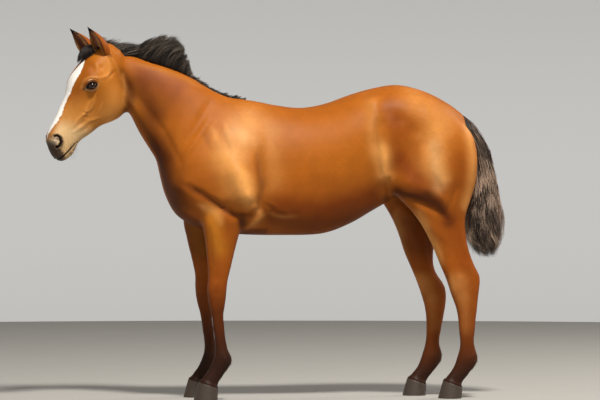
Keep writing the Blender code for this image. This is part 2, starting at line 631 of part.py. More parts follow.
def main():
    clear_scene()
    horse = bpy.data.collections.new("young_horse")
    guides = bpy.data.collections.new("guides")
    for collection in (horse, guides):
        bpy.context.scene.collection.children.link(collection)
    body = flesh(horse)
    for number, (middle, size, tilt) in enumerate(CUTS):
        body = without(body, slab(f"cut_{number}", middle, size, tilt, guides))
    for name, (x, z, y, toe, heel) in HOOVES.items():
        slope = CORONET_SLOPE
        drop = 0.05 - GAP
        middle = (x - drop * math.sin(slope), y, z - drop * math.cos(slope))
        body = without(body, slab(f"{name}_room", middle, (0.16, 0.14, 0.10), slope, guides))
    parts = parted(body, MARKS, horse)
    eyes = {}
    for side, sign in (("left", -1), ("right", 1)):
        centre = head_place(EYE_PLACE[0], sign * EYE_SIDE, EYE_PLACE[1])
        socket = hidden(ball(f"{side}_socket", centre, EYE_RADIUS + GAP, 14, 8, horse), guides)
        parts["head"] = without(parts["head"], socket)
        eyes[side] = ball(f"{side}_eye", centre, EYE_RADIUS, 14, 8, horse)
    around = [swollen(parts[name], f"{name}_room", 2.5 * GAP, guides)
              for name in ("head", "neck", "trunk")]
    lumps = {
        "mane": hair("mane", MANE, 1, 8, horse),
        "tail": hair("tail", TAIL, 1, 10, horse),
        "forelock": forelock(horse),
        "left_ear": ear("left_ear", EARS["left"], horse),
        "right_ear": ear("right_ear", EARS["right"], horse),
    }
    for name in lumps:
        for room in around:
            lumps[name] = without(lumps[name], room)
    for name, spec in HOOVES.items():
        painted(hoof(f"{name}_hoof", spec, horse), f"{name}_horn", (0.05, 0.04, 0.035), 0.45)
    for name, part in parts.items():
        painted(part, f"{name}_coat", (0.45, 0.18, 0.06), 0.55)
    for side, eye in eyes.items():
        painted(eye, f"{side}_eye_wet", (0.02, 0.012, 0.008), 0.08)
    for name, lump in lumps.items():
        colour = (0.35, 0.15, 0.06) if name.endswith("ear") else (0.03, 0.025, 0.022)
        painted(lump, f"{name}_hair", colour, 0.6)
    root = new_object("standing_place", None, horse)
    for obj in list(horse.objects):
        if obj.type == "MESH":
            settled(obj, root)


main()
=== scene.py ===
import math
import time
from functools import partialmethod

import bmesh
import bpy
import numpy as np
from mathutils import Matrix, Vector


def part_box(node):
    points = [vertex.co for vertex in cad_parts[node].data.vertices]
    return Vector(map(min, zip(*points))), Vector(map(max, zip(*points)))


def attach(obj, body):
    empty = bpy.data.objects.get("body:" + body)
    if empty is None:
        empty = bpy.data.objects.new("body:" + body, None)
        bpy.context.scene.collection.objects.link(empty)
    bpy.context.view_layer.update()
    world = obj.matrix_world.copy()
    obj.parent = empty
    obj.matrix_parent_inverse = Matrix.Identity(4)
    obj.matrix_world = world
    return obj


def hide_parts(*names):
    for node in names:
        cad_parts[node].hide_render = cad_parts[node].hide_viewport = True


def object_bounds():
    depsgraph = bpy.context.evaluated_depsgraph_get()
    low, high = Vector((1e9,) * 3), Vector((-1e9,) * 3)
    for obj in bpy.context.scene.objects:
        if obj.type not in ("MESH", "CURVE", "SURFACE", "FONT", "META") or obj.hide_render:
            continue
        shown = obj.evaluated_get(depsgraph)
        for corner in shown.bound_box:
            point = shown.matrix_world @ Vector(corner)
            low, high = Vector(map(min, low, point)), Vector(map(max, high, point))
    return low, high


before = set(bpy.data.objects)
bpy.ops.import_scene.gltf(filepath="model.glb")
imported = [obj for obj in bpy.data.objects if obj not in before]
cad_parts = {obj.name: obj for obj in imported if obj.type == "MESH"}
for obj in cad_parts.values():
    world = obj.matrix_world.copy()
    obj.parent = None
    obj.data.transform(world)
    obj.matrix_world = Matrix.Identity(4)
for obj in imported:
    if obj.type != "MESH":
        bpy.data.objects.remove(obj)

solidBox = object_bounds()
started = time.time()
rng = np.random.default_rng(11)


def say(text):
    print(f"{time.time() - started:6.1f} s  {text}")


def middleOf(node):
    low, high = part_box(node)
    return (np.array(low) + np.array(high)) / 2


def cornersOf(box):
    return [np.array(corner) for corner in box]


def lengths(vectors):
    return np.linalg.norm(vectors, axis=1)


def unit(vectors):
    return vectors / np.maximum(np.linalg.norm(vectors, axis=-1, keepdims=True), 1e-9)


# 0 below low, 1 above high, and an S curve between
def ramp(low, high, values):
    t = np.clip((values - low) / (high - low), 0, 1)
    return t * t * (3 - 2 * t)


def bell(distance, spread):
    return np.exp(-(distance / spread) ** 2)


# from the first value to the second by each point's share
def between(first, second, share):
    return first + (second - first) * share[:, None]


# even angles round a full circle
def fullTurn(count):
    return np.arange(count) * 2 * math.pi / count


# a colour as it is seen, 0 to 255, in the linear values that shaders use
def seen(red, green, blue):
    return np.power(np.array([red, green, blue]) / 255, 2.2)


# shader maths: a wire is one socket, and sums of wires add Math nodes
class Wire:
    def __init__(self, tree, socket):
        self.tree = tree
        self.socket = socket

    def maths(self, operation, other, swapped=False):
        node = self.tree.nodes.new("ShaderNodeMath")
        node.operation = operation
        for slot, value in zip(node.inputs, (other, self) if swapped else (self, other)):
            if isinstance(value, Wire):
                self.tree.links.new(value.socket, slot)
            else:
                slot.default_value = value
        return Wire(self.tree, node.outputs[0])

    __add__ = partialmethod(maths, "ADD")
    __sub__ = partialmethod(maths, "SUBTRACT")
    __mul__ = partialmethod(maths, "MULTIPLY")
    __truediv__ = partialmethod(maths, "DIVIDE")
    __radd__ = partialmethod(maths, "ADD", swapped=True)  # the same with a plain number first
    __rsub__ = partialmethod(maths, "SUBTRACT", swapped=True)
    __rmul__ = partialmethod(maths, "MULTIPLY", swapped=True)
    __rtruediv__ = partialmethod(maths, "DIVIDE", swapped=True)


class Finish:
    def __init__(self, name):
        self.material = bpy.data.materials.new(name)
        self.material.use_nodes = True
        self.tree = self.material.node_tree
        self.shader = self.tree.nodes["Principled BSDF"]

    # a node with its settings, such as an operation, and then the values or wires of its sockets
    def node(self, kind, settings, sockets, output=0):
        made = self.tree.nodes.new(kind)
        for key, value in settings.items():
            setattr(made, key, value)
        for key, value in sockets.items():
            if isinstance(value, Wire):
                self.tree.links.new(value.socket, made.inputs[key])
            else:
                made.inputs[key].default_value = value
        return Wire(self.tree, made.outputs[output])

    def attribute(self, name, output=0):
        return self.node("ShaderNodeAttribute", {"attribute_name": name}, {}, output)

    def mixed(self, share, first, second, blend="MIX"):
        pair = [(*v, 1.0) if not isinstance(v, Wire) else v for v in (first, second)]
        return self.node("ShaderNodeMix", {"data_type": "RGBA", "blend_type": blend},
                         {0: share, 6: pair[0], 7: pair[1]}, 2)

    def noise(self, place, scale, detail):
        return self.node("ShaderNodeTexNoise", {}, {
            "Vector": place, "Scale": scale, "Detail": detail, "Roughness": 0.55})

    # a value carried from one range to another
    def spanned(self, value, fromLow, fromHigh, toLow, toHigh, kind="LINEAR"):
        return self.node("ShaderNodeMapRange", {"interpolation_type": kind}, {
            "Value": value, "From Min": fromLow, "From Max": fromHigh, "To Min": toLow, "To Max": toHigh})

    # texture places stretched by a scale of their own along each axis
    def stretched(self, place, scales):
        return self.node("ShaderNodeVectorMath", {"operation": "MULTIPLY"}, {0: place, 1: scales})

    def bump(self, height, strength):
        return self.node("ShaderNodeBump", {}, {"Strength": strength, "Distance": 0.001, "Height": height})

    # the place in the object's own coordinates
    def here(self):
        return self.node("ShaderNodeTexCoord", {}, {}, 3)

    def put(self, **values):
        for key, value in values.items():
            socket = self.shader.inputs[key.replace("_", " ")]
            if isinstance(value, Wire):
                self.tree.links.new(value.socket, socket)
            else:
                socket.default_value = value


def addObject(name, data):
    made = bpy.data.objects.new(name, data)
    bpy.context.scene.collection.objects.link(made)
    return made


# camera, floor and light
camera = {
    "azimuth": -8.0, "distance": 14.0, "across": 0.109, "up": 0.0605,
    "lens": 190.9, "sensor": 36.0, "farthest": 100.0,
}
lamps = {  # where from the middle of the horse, size in metres, watts, colour
    "key": ((0.7, -5.0, 7.8), 1.6, 1150, (1.0, 0.955, 0.88)),
    "fill": ((-7.0, -6.5, 2.6), 6.0, 40, (1.0, 0.98, 0.95)),
    "rim": ((6.5, 2.2, 4.6), 2.0, 230, (1.0, 0.94, 0.84)),
}
ground = {
    "radius": 9.0, "sides": 96, "gap": 0.0005, "colour": (0.4, 0.39, 0.37), "speck": 0.03, "roughness": 0.8,
}
sky = {"horizon": 0.62, "above": 0.22, "falloff": 60, "colour": (0.9, 0.89, 0.86)}


def setCamera():
    low, high = cornersOf(solidBox)
    turn = math.radians(camera["azimuth"])
    right = np.array([math.cos(turn), math.sin(turn), 0.0])
    back = np.array([math.sin(turn), -math.cos(turn), 0.0])
    target = (low + high) / 2 + right * camera["across"] + np.array([0, 0, camera["up"]])
    data = bpy.data.cameras.new("camera")
    data.sensor_width = camera["sensor"]
    data.lens = camera["lens"]
    data.clip_end = camera["farthest"]
    viewer = addObject("camera", data)
    viewer.location = target + back * camera["distance"]
    viewer.rotation_euler = (math.pi / 2, 0, turn)
    bpy.context.scene.camera = viewer


def setLamps():
    low, high = cornersOf(solidBox)
    middle = (low + high) / 2
    for name, (spot, size, power, colour) in lamps.items():
        data = bpy.data.lights.new(name, "AREA")
        data.shape = "DISK"
        data.size = size
        data.energy = power
        data.color = colour
        lamp = addObject(name, data)
        lamp.location = middle + np.array(spot)
        # a lamp shines along its own -Z, so it is turned until that runs back to the horse
        x, y, z = spot
        lamp.rotation_euler = (math.atan2(math.hypot(x, y), z), 0, math.atan2(x, -y))
    world = bpy.data.worlds.new("studio")
    world.use_nodes = True
    # the pale surround is brightest along the horizon and falls off above and below it
    tree = world.node_tree
    background = tree.nodes["Background"]
    background.inputs["Color"].default_value = (*sky["colour"], 1.0)
    direction = tree.nodes.new("ShaderNodeTexCoord")
    axes = tree.nodes.new("ShaderNodeSeparateXYZ")
    tree.links.new(direction.outputs["Generated"], axes.inputs[0])
    height = Wire(tree, axes.outputs["Z"])
    strength = sky["above"] + (sky["horizon"] - sky["above"]) * (1 / (1 + sky["falloff"] * height * height))
    tree.links.new(strength.socket, background.inputs["Strength"])
    bpy.context.scene.world = world
    bpy.context.scene.view_settings.view_transform = "Standard"


# a mesh from a list of arrays, each with faces of one number of corners
def meshOf(name, points, faces):
    corners = np.concatenate([part.ravel() for part in faces]).astype(np.int32)
    sizes = np.concatenate([np.full(len(part), part.shape[1]) for part in faces])
    starts = np.concatenate([[0], np.cumsum(sizes)[:-1]]).astype(np.int32)
    mesh = bpy.data.meshes.new(name)
    mesh.vertices.add(len(points))
    mesh.vertices.foreach_set("co", np.ascontiguousarray(points, np.float32).ravel())
    mesh.loops.add(len(corners))
    mesh.loops.foreach_set("vertex_index", corners)
    mesh.polygons.add(len(starts))
    mesh.polygons.foreach_set("loop_start", starts)
    mesh.update(calc_edges=True)
    mesh.validate()
    mesh.shade_smooth()
    return mesh


# quads of a grid of points whose last column joins the first
def gridFaces(rows, columns, first=0):
    row = np.arange(rows - 1)[:, None] * columns
    column = np.arange(columns)[None, :]
    after = (column + 1) % columns
    quads = np.stack([row + column, row + after, row + columns + after, row + columns + column], -1)
    return first + quads.reshape(-1, 4)


# a tube through rings of points, its two ends closed by fans
def tubeOf(rings, first=0):
    rows, columns, _ = rings.shape
    points = np.vstack([rings.reshape(-1, 3), rings[0].mean(0), rings[-1].mean(0)])
    turn = np.arange(columns)
    after = (turn + 1) % columns
    near = np.column_stack([np.full(columns, rows * columns), after, turn])
    last = (rows - 1) * columns
    far = np.column_stack([np.full(columns, rows * columns + 1), last + turn, last + after])
    return points, gridFaces(rows, columns, first), first + np.vstack([near, far])


def readPoints(mesh, what="co"):
    values = np.empty(len(mesh.vertices) * 3, np.float32)
    mesh.vertices.foreach_get(what, values)
    return values.reshape(-1, 3).astype(float)


def readSkin(mesh):
    return readPoints(mesh), readPoints(mesh, "normal")


def writePoints(mesh, points):
    mesh.vertices.foreach_set("co", np.ascontiguousarray(points, np.float32).ravel())
    mesh.update()


def storeColours(mesh, name, colours):
    layer = mesh.color_attributes.new(name, "FLOAT_COLOR", "POINT")
    rgba = np.column_stack([colours, np.ones(len(colours))]).astype(np.float32)
    layer.data.foreach_set("color", rgba.ravel())


def storeValues(mesh, name, values):
    layer = mesh.attributes.new(name, "FLOAT", "POINT")
    layer.data.foreach_set("value", np.asarray(values, np.float32))


def storeVectors(mesh, name, vectors):
    layer = mesh.attributes.new(name, "FLOAT_VECTOR", "POINT")
    layer.data.foreach_set("vector", np.ascontiguousarray(vectors, np.float32).ravel())


def addPiece(name, mesh, finish, nodes=()):
    piece = addObject(name, mesh)
    mesh.materials.append(finish)
    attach(piece, "root")
    if nodes:
        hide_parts(*nodes)
    return piece


# the flesh: the same rings and forms as the solids, at a finer grain
poll = np.array([-0.72, 0.0, 1.545])
headLay = {"slope": math.radians(59.8), "turn": math.radians(18)}
flesh = {"sides": 48, "perGap": 8, "grain": 0.0099, "rounds": 16, "coatDepth": 0.0016}

# rings of the neck and trunk: top x, z, bottom x, z, half width, roundness, egg
trunkRings = (
    (-0.72, 1.515, -0.69, 1.33, 0.05, 0.95, 0),  # inside the head
    (-0.653, 1.512, -0.648, 1.262, 0.062, 0.95, -0.1),  # throat latch
    (-0.555, 1.478, -0.604, 1.172, 0.07, 0.95, -0.15),
    (-0.458, 1.448, -0.56, 1.1, 0.082, 0.95, -0.2),  # middle of the neck
    (-0.369, 1.41, -0.526, 1.045, 0.099, 0.95, -0.25),
    (-0.289, 1.362, -0.509, 0.975, 0.124, 0.95, -0.3),  # root of the neck
    (-0.209, 1.326, -0.484, 0.889, 0.15, 0.92, -0.35),
    (-0.142, 1.316, -0.431, 0.8, 0.172, 0.9, -0.35),  # withers and breast
    (-0.076, 1.306, -0.311, 0.738, 0.186, 0.9, -0.3),
    (0, 1.291, -0.156, 0.719, 0.194, 0.9, -0.22),  # girth
    (0.111, 1.279, 0.044, 0.715, 0.204, 0.92, -0.12),
    (0.222, 1.298, 0.209, 0.722, 0.214, 0.94, -0.06),  # widest of the barrel
    (0.333, 1.338, 0.333, 0.766, 0.212, 0.94, 0),
    (0.44, 1.368, 0.44, 0.827, 0.204, 0.92, 0.04),  # flank
    (0.547, 1.382, 0.555, 0.889, 0.198, 0.9, 0.04),  # top of the croup
    (0.667, 1.353, 0.667, 0.924, 0.192, 0.92, 0),
    (0.769, 1.302, 0.764, 0.959, 0.166, 0.95, 0),
    (0.843, 1.25, 0.838, 1.04, 0.1, 1, 0),  # under the tail
)
# rings of the head: down, face, jaw, half width, roundness, egg
headRings = (
    (-0.01, -0.018, 0.04, 0.04, 1, 0),
    (0.03, -0.05, 0.09, 0.066, 0.95, 0.1),
    (0.075, -0.073, 0.122, 0.081, 0.92, 0.2),
    (0.118, -0.083, 0.148, 0.09, 0.9, 0.3),
    (0.152, -0.089, 0.174, 0.096, 0.88, 0.35),  # brow
    (0.19, -0.093, 0.198, 0.097, 0.86, 0.38),
    (0.225, -0.095, 0.2, 0.091, 0.86, 0.34),  # eyes and jowl
    (0.258, -0.089, 0.188, 0.08, 0.86, 0.26),
    (0.29, -0.079, 0.166, 0.07, 0.86, 0.16),
    (0.322, -0.075, 0.138, 0.062, 0.86, 0.1),
    (0.352, -0.074, 0.121, 0.056, 0.88, 0.06),
    (0.39, -0.071, 0.106, 0.051, 0.88, 0.05),
    (0.43, -0.069, 0.085, 0.048, 0.88, 0.1),
    (0.465, -0.068, 0.079, 0.05, 0.88, 0.15),
    (0.495, -0.063, 0.083, 0.052, 0.88, 0.1),  # nostrils
    (0.52, -0.047, 0.076, 0.048, 0.92, 0),
    (0.543, -0.02, 0.066, 0.041, 0.95, 0),
    (0.56, 0.006, 0.052, 0.026, 1, 0),  # lips
)
# rings of the legs: front x, z, rear x, z, middle y, half width, roundness, egg
foreLegRings = (
    (-0.35, 1.12, -0.15, 1.12, -0.085, 0.04, 1, 0),  # shoulder blade
    (-0.385, 0.959, -0.115, 0.965, -0.11, 0.06, 0.95, 0),
    (-0.362, 0.871, -0.1, 0.88, -0.116, 0.064, 0.95, 0),
    (-0.338, 0.81, -0.118, 0.827, -0.118, 0.062, 0.95, 0),  # elbow
    (-0.336, 0.761, -0.156, 0.761, -0.119, 0.058, 0.95, 0.1),
    (-0.326, 0.704, -0.178, 0.695, -0.12, 0.053, 0.95, 0.1),
    (-0.318, 0.642, -0.194, 0.634, -0.12, 0.046, 0.95, 0.1),
    (-0.313, 0.581, -0.208, 0.576, -0.12, 0.04, 0.92, 0),
    (-0.311, 0.532, -0.22, 0.528, -0.12, 0.037, 0.88, 0),
    (-0.314, 0.493, -0.226, 0.488, -0.12, 0.039, 0.82, 0),  # knee
    (-0.313, 0.453, -0.229, 0.449, -0.12, 0.04, 0.82, 0),
    (-0.306, 0.409, -0.235, 0.405, -0.12, 0.034, 0.88, 0),
    (-0.296, 0.37, -0.239, 0.365, -0.12, 0.026, 0.95, 0.2),
    (-0.287, 0.299, -0.233, 0.295, -0.12, 0.023, 0.95, 0.2),  # cannon
    (-0.279, 0.233, -0.223, 0.229, -0.12, 0.025, 0.95, 0.1),
    (-0.283, 0.194, -0.203, 0.172, -0.12, 0.033, 0.92, 0),  # fetlock
    (-0.303, 0.143, -0.233, 0.117, -0.12, 0.028, 0.95, 0.1),
    (-0.331, 0.103, -0.263, 0.072, -0.12, 0.03, 0.95, 0.1),  # pastern
    (-0.35, 0.078, -0.268, 0.048, -0.12, 0.038, 0.95, 0),  # coronet
    (-0.362, 0.046, -0.272, 0.014, -0.12, 0.042, 0.95, 0),  # inside the hoof
)
hindLegRings = (
    (0.53, 1.276, 0.8, 1.24, -0.09, 0.06, 1, 0),  # hip
    (0.486, 1.135, 0.866, 1.157, -0.108, 0.082, 0.95, 0),
    (0.473, 1.025, 0.886, 1.056, -0.116, 0.094, 0.95, 0),  # thigh
    (0.486, 0.946, 0.879, 0.95, -0.12, 0.09, 0.95, 0.1),
    (0.531, 0.88, 0.855, 0.871, -0.122, 0.08, 0.95, 0.1),  # stifle
    (0.593, 0.814, 0.833, 0.805, -0.122, 0.067, 0.95, 0.1),
    (0.642, 0.744, 0.831, 0.748, -0.12, 0.056, 0.95, 0.1),  # gaskin
    (0.686, 0.656, 0.844, 0.664, -0.118, 0.045, 0.95, 0.1),
    (0.713, 0.59, 0.868, 0.594, -0.118, 0.039, 0.92, 0.2),
    (0.742, 0.524, 0.897, 0.532, -0.118, 0.039, 0.9, 0.3),  # hock
    (0.764, 0.458, 0.893, 0.475, -0.118, 0.039, 0.88, 0.2),
    (0.79, 0.383, 0.885, 0.405, -0.118, 0.033, 0.9, 0.1),
    (0.799, 0.304, 0.877, 0.321, -0.118, 0.027, 0.95, 0.1),  # cannon
    (0.804, 0.233, 0.871, 0.242, -0.118, 0.026, 0.95, 0.1),
    (0.793, 0.185, 0.886, 0.167, -0.118, 0.034, 0.92, 0),  # fetlock
    (0.776, 0.138, 0.851, 0.11, -0.118, 0.028, 0.95, 0.1),
    (0.749, 0.1, 0.817, 0.068, -0.118, 0.03, 0.95, 0.1),  # pastern
    (0.73, 0.076, 0.812, 0.044, -0.118, 0.038, 0.95, 0),  # coronet
    (0.718, 0.044, 0.808, 0.012, -0.118, 0.042, 0.95, 0),  # inside the hoof
)
rightHindRings = (  # the same places as in the table above
    (0.53, 1.276, 0.8, 1.24, 0.09, 0.06, 1, 0),
    (0.486, 1.135, 0.862, 1.157, 0.104, 0.086, 0.95, 0),
    (0.468, 1.025, 0.878, 1.056, 0.112, 0.096, 0.95, 0),
    (0.472, 0.93, 0.85, 0.946, 0.116, 0.092, 0.95, 0.1),
    (0.5, 0.858, 0.8, 0.86, 0.12, 0.08, 0.95, 0.1),
    (0.54, 0.792, 0.762, 0.78, 0.12, 0.067, 0.95, 0.1),
    (0.571, 0.717, 0.742, 0.706, 0.118, 0.056, 0.95, 0.1),
    (0.596, 0.64, 0.731, 0.628, 0.118, 0.045, 0.95, 0.1),
    (0.626, 0.572, 0.738, 0.56, 0.118, 0.039, 0.92, 0.2),
    (0.655, 0.503, 0.782, 0.488, 0.118, 0.039, 0.9, 0.3),
    (0.68, 0.43, 0.79, 0.436, 0.118, 0.039, 0.88, 0.2),
    (0.693, 0.37, 0.782, 0.374, 0.118, 0.033, 0.9, 0.1),
    (0.696, 0.3, 0.77, 0.306, 0.118, 0.027, 0.95, 0.1),
    (0.692, 0.233, 0.759, 0.236, 0.118, 0.026, 0.95, 0.1),
    (0.679, 0.187, 0.771, 0.167, 0.118, 0.034, 0.92, 0),
    (0.661, 0.138, 0.736, 0.11, 0.118, 0.028, 0.95, 0.1),
    (0.634, 0.1, 0.702, 0.068, 0.118, 0.03, 0.95, 0.1),
    (0.612, 0.076, 0.694, 0.044, 0.118, 0.038, 0.95, 0),
    (0.6, 0.044, 0.69, 0.012, 0.118, 0.042, 0.95, 0),
)
# the right foreleg stands ahead of the left one: height and shift in x
foreCarry = (
    (0, -0.02), (0.3, -0.022), (0.47, -0.026), (0.55, -0.032),
    (0.67, -0.051), (0.8, -0.06), (1.1, -0.03),
)
# ears: root and tip, as down, side and out in the head's frame
earPlaces = {
    "left": ((0.055, -0.048, -0.012), (0.007, -0.075, -0.162)),
    "right": ((0.062, 0.048, -0.03), (0.022, 0.064, -0.184)),
}
# rings of the hair: top or front x, z, bottom or rear x, z, middle y, half width
maneRings = (
    (-0.815, 1.598, -0.8, 1.545, 0.006, 0.024),  # between the ears
    (-0.775, 1.586, -0.755, 1.535, 0.003, 0.024),
    (-0.735, 1.562, -0.712, 1.52, 0, 0.018),
    (-0.69, 1.566, -0.68, 1.495, 0.002, 0.024),
    (-0.622, 1.558, -0.628, 1.475, 0.006, 0.028),
    (-0.58, 1.564, -0.596, 1.462, 0.008, 0.03),
    (-0.54, 1.575, -0.565, 1.45, 0.01, 0.032),
    (-0.5, 1.586, -0.535, 1.44, 0.012, 0.034),
    (-0.462, 1.586, -0.5, 1.43, 0.014, 0.034),
    (-0.43, 1.572, -0.465, 1.415, 0.014, 0.032),
    (-0.4, 1.542, -0.43, 1.4, 0.014, 0.028),
    (-0.378, 1.492, -0.4, 1.385, 0.012, 0.022),
    (-0.364, 1.426, -0.37, 1.37, 0.008, 0.016),
    (-0.31, 1.388, -0.315, 1.342, 0.004, 0.012),
    (-0.245, 1.348, -0.25, 1.308, 0, 0.01),
    (-0.18, 1.331, -0.185, 1.29, 0, 0.008),
    (-0.13, 1.32, -0.135, 1.285, 0, 0.006),
)
tailRings = (  # these lie in the middle plane, so y is left out
    (0.8, 1.225, 0.842, 1.268, 0.022),
    (0.838, 1.17, 0.9, 1.23, 0.03),
    (0.868, 1.11, 0.938, 1.162, 0.034),
    (0.886, 1.04, 0.97, 1.08, 0.038),
    (0.893, 0.96, 0.988, 0.985, 0.044),
    (0.88, 0.88, 1.002, 0.9, 0.052),
    (0.858, 0.81, 1.01, 0.815, 0.056),
    (0.85, 0.745, 1.014, 0.745, 0.056),
    (0.862, 0.69, 1.008, 0.69, 0.05),
    (0.892, 0.64, 0.99, 0.645, 0.036),
    (0.93, 0.606, 0.982, 0.61, 0.016),
)
# forelock: down, out at the top, out at the root, side
forelockRings = (
    (0, -0.052, -0.01, -0.004),
    (0.03, -0.086, -0.036, -0.005),
    (0.062, -0.122, -0.058, -0.006),
    (0.095, -0.132, -0.07, -0.004),
    (0.128, -0.126, -0.08, 0.002),
    (0.154, -0.116, -0.088, 0.004),
    (0.17, -0.108, -0.092, 0.004),
)
# swellings and hollows of the sides: path, spread, height
bodyForms = (
    (((-0.218, 1.047), (-0.156, 0.906)), 0.045, 0.0095),  # triceps
    (((-0.129, 0.832),), 0.02, 0.01),  # elbow
    (((-0.427, 0.924),), 0.04, 0.014),  # point of the shoulder
    (((-0.293, 1.3), (-0.449, 1.047)), 0.022, -0.007),  # front edge of the shoulder blade
    (((-0.235, 0.849),), 0.018, -0.01),  # below the triceps
    (((-0.084, 0.871), (-0.058, 0.76)), 0.02, -0.008),  # behind the elbow
    (((-0.115, 1.24), (-0.084, 1.0)), 0.034, -0.004),  # behind the shoulder blade
    (((0.445, 1.2), (0.455, 1.09), (0.477, 1.0)), 0.032, -0.009),  # flank
    (((0.405, 1.298),), 0.026, 0.01),  # point of the hip
    (((0.53, 1.225),), 0.034, -0.005),
    (((0.73, 1.13), (0.75, 0.97)), 0.05, 0.009),  # back of the thigh
    (((0.662, 0.985), (0.738, 0.85)), 0.015, -0.007),  # groove of the thigh
    (((0.56, 0.9),), 0.034, 0.008),  # stifle
)
headForms = (
    (((0.2, -0.046), (0.238, -0.044)), 0.015, 0.007),  # rim above the eye
    (((0.15, -0.055),), 0.018, -0.006),  # temple
    (((0.272, 0.01), (0.35, 0.022)), 0.011, 0.006),  # facial crest
    (((0.245, 0.11),), 0.052, 0.006),  # cheek
    (((0.32, -0.038), (0.43, -0.03)), 0.018, -0.005),  # beside the nasal bone
    (((0.37, 0.06),), 0.024, -0.004),
    (((0.495, -0.03),), 0.022, 0.005),  # nostril
    (((0.495, -0.024),), 0.01, -0.01),
    (((0.462, 0.054), (0.545, 0.038)), 0.008, -0.005),  # mouth
)


# more rings between the given ones, on a Catmull-Rom curve through them all
def smoothed(stations, perGap):
    given = np.array(stations, float)
    ends = np.vstack([2 * given[0] - given[1], given, 2 * given[-1] - given[-2]])
    rows = []
    for before, start, end, after in zip(ends, ends[1:], ends[2:], ends[3:]):
        for t in np.arange(perGap) / perGap:
            bend = 2 * before - 5 * start + 4 * end - after
            twist = 3 * start - before - 3 * end + after
            rows.append(start + 0.5 * ((end - before) * t + bend * t * t + twist * t**3))
    rows.append(given[-1])
    return np.array(rows)


# one ring: a rounded oval from its front or top point a to its rear or bottom point b
def ring(station, sides):
    ax, az, bx, bz, y, halfWidth, roundness, egg = station
    turn = fullTurn(sides)
    along = np.sign(np.cos(turn)) * np.abs(np.cos(turn)) ** roundness
    across = np.sign(np.sin(turn)) * np.abs(np.sin(turn)) ** roundness * (1 + egg * along)
    x = (ax + bx) / 2 + along * (ax - bx) / 2
    z = (az + bz) / 2 + along * (az - bz) / 2
    return np.column_stack([x, y + across * halfWidth, z])


# a point of the head: down from the poll, to the right side, and out towards the jaw
def headPlace(down, side, out):
    down, side, out = (np.asarray(v, float) for v in (down, side, out))
    forward = math.cos(headLay["slope"]) * down - math.sin(headLay["slope"]) * out
    fall = math.sin(headLay["slope"]) * down + math.cos(headLay["slope"]) * out
    x = poll[0] - forward * math.cos(headLay["turn"]) - side * math.sin(headLay["turn"])
    y = poll[1] - forward * math.sin(headLay["turn"]) + side * math.cos(headLay["turn"])
    return np.stack(np.broadcast_arrays(x, y, poll[2] - fall), axis=-1)


headAxes = np.array([headPlace(*axis) - poll for axis in np.eye(3)])  # rows: down, side, out


def inHead(points):
    return (points - poll) @ headAxes.T


# 1 on the head, 0 behind the throat
def headShare(points):
    return 1 - np.clip((points[:, 0] + 0.68) / 0.03, 0, 1)


# heights up a leg and where its middle lies at each, in x
def legMiddles(table):
    rows = smoothed(table, 4)[::-1]
    return (rows[:, 1] + rows[:, 3]) / 2, (rows[:, 0] + rows[:, 2]) / 2


# a point's x and z, on the right legs moved to where the left ones are, so that one table serves both
def sidePlace(points):
    flat = points[:, [0, 2]].copy()
    behind = (np.interp(flat[:, 1], *legMiddles(rightHindRings))
              - np.interp(flat[:, 1], *legMiddles(hindLegRings)))
    ahead = np.interp(flat[:, 1], *np.array(foreCarry).T)
    low = 1 - ramp(0.8, 0.95, flat[:, 1])
    right = points[:, 1] > 0
    flat[:, 0] -= right * low * np.where(flat[:, 0] > 0.3, behind, np.where(flat[:, 0] < 0.0, ahead, 0))
    return flat


# a point's distance from a path of places, and how far along it the nearest place is
def alongPath(flat, path):
    path = np.array(path)
    best, share = lengths(flat - path[0]), np.zeros(len(flat))
    for number, (start, end) in enumerate(zip(path, path[1:])):
        step = end - start
        t = np.clip((flat - start) @ step / (step @ step), 0, 1)
        away = lengths(flat - start - t[:, None] * step)
        closer = away < best
        best[closer] = away[closer]
        share[closer] = (number + t[closer]) / (len(path) - 1)
    return best, share


def pathDistance(flat, path):
    return alongPath(flat, path)[0]


# 1 on a path, fading to its sides; narrow ones are spindles that run out to points
def nearPath(flat, path, spread):
    if len(path) == 1 or spread > 0.022:
        return bell(pathDistance(flat, path), spread)
    away, share = alongPath(flat, path)
    full = np.sin(math.pi * np.clip(0.06 + 0.88 * share, 0, 1)) ** 0.6
    return full * bell(away, spread * (0.45 + 0.55 * full))


# each point moves towards the mean of its neighbours by its own share
def relaxed(points, edges, rounds, share):
    count = np.maximum(np.bincount(edges.ravel(), minlength=len(points)), 1)[:, None]
    first, second = edges.T
    for _ in range(rounds):
        total = np.column_stack([
            np.bincount(first, points[second, axis], len(points))
            + np.bincount(second, points[first, axis], len(points)) for axis in range(3)])
        points = points + (total / count - points) * share[:, None]
    return points


def edgesOf(mesh):
    pairs = np.empty(len(mesh.edges) * 2, np.int32)
    mesh.edges.foreach_get("vertices", pairs)
    return pairs.reshape(-1, 2)


def ringsOf(rows):
    return np.array([ring(row, flesh["sides"]) for row in rows])


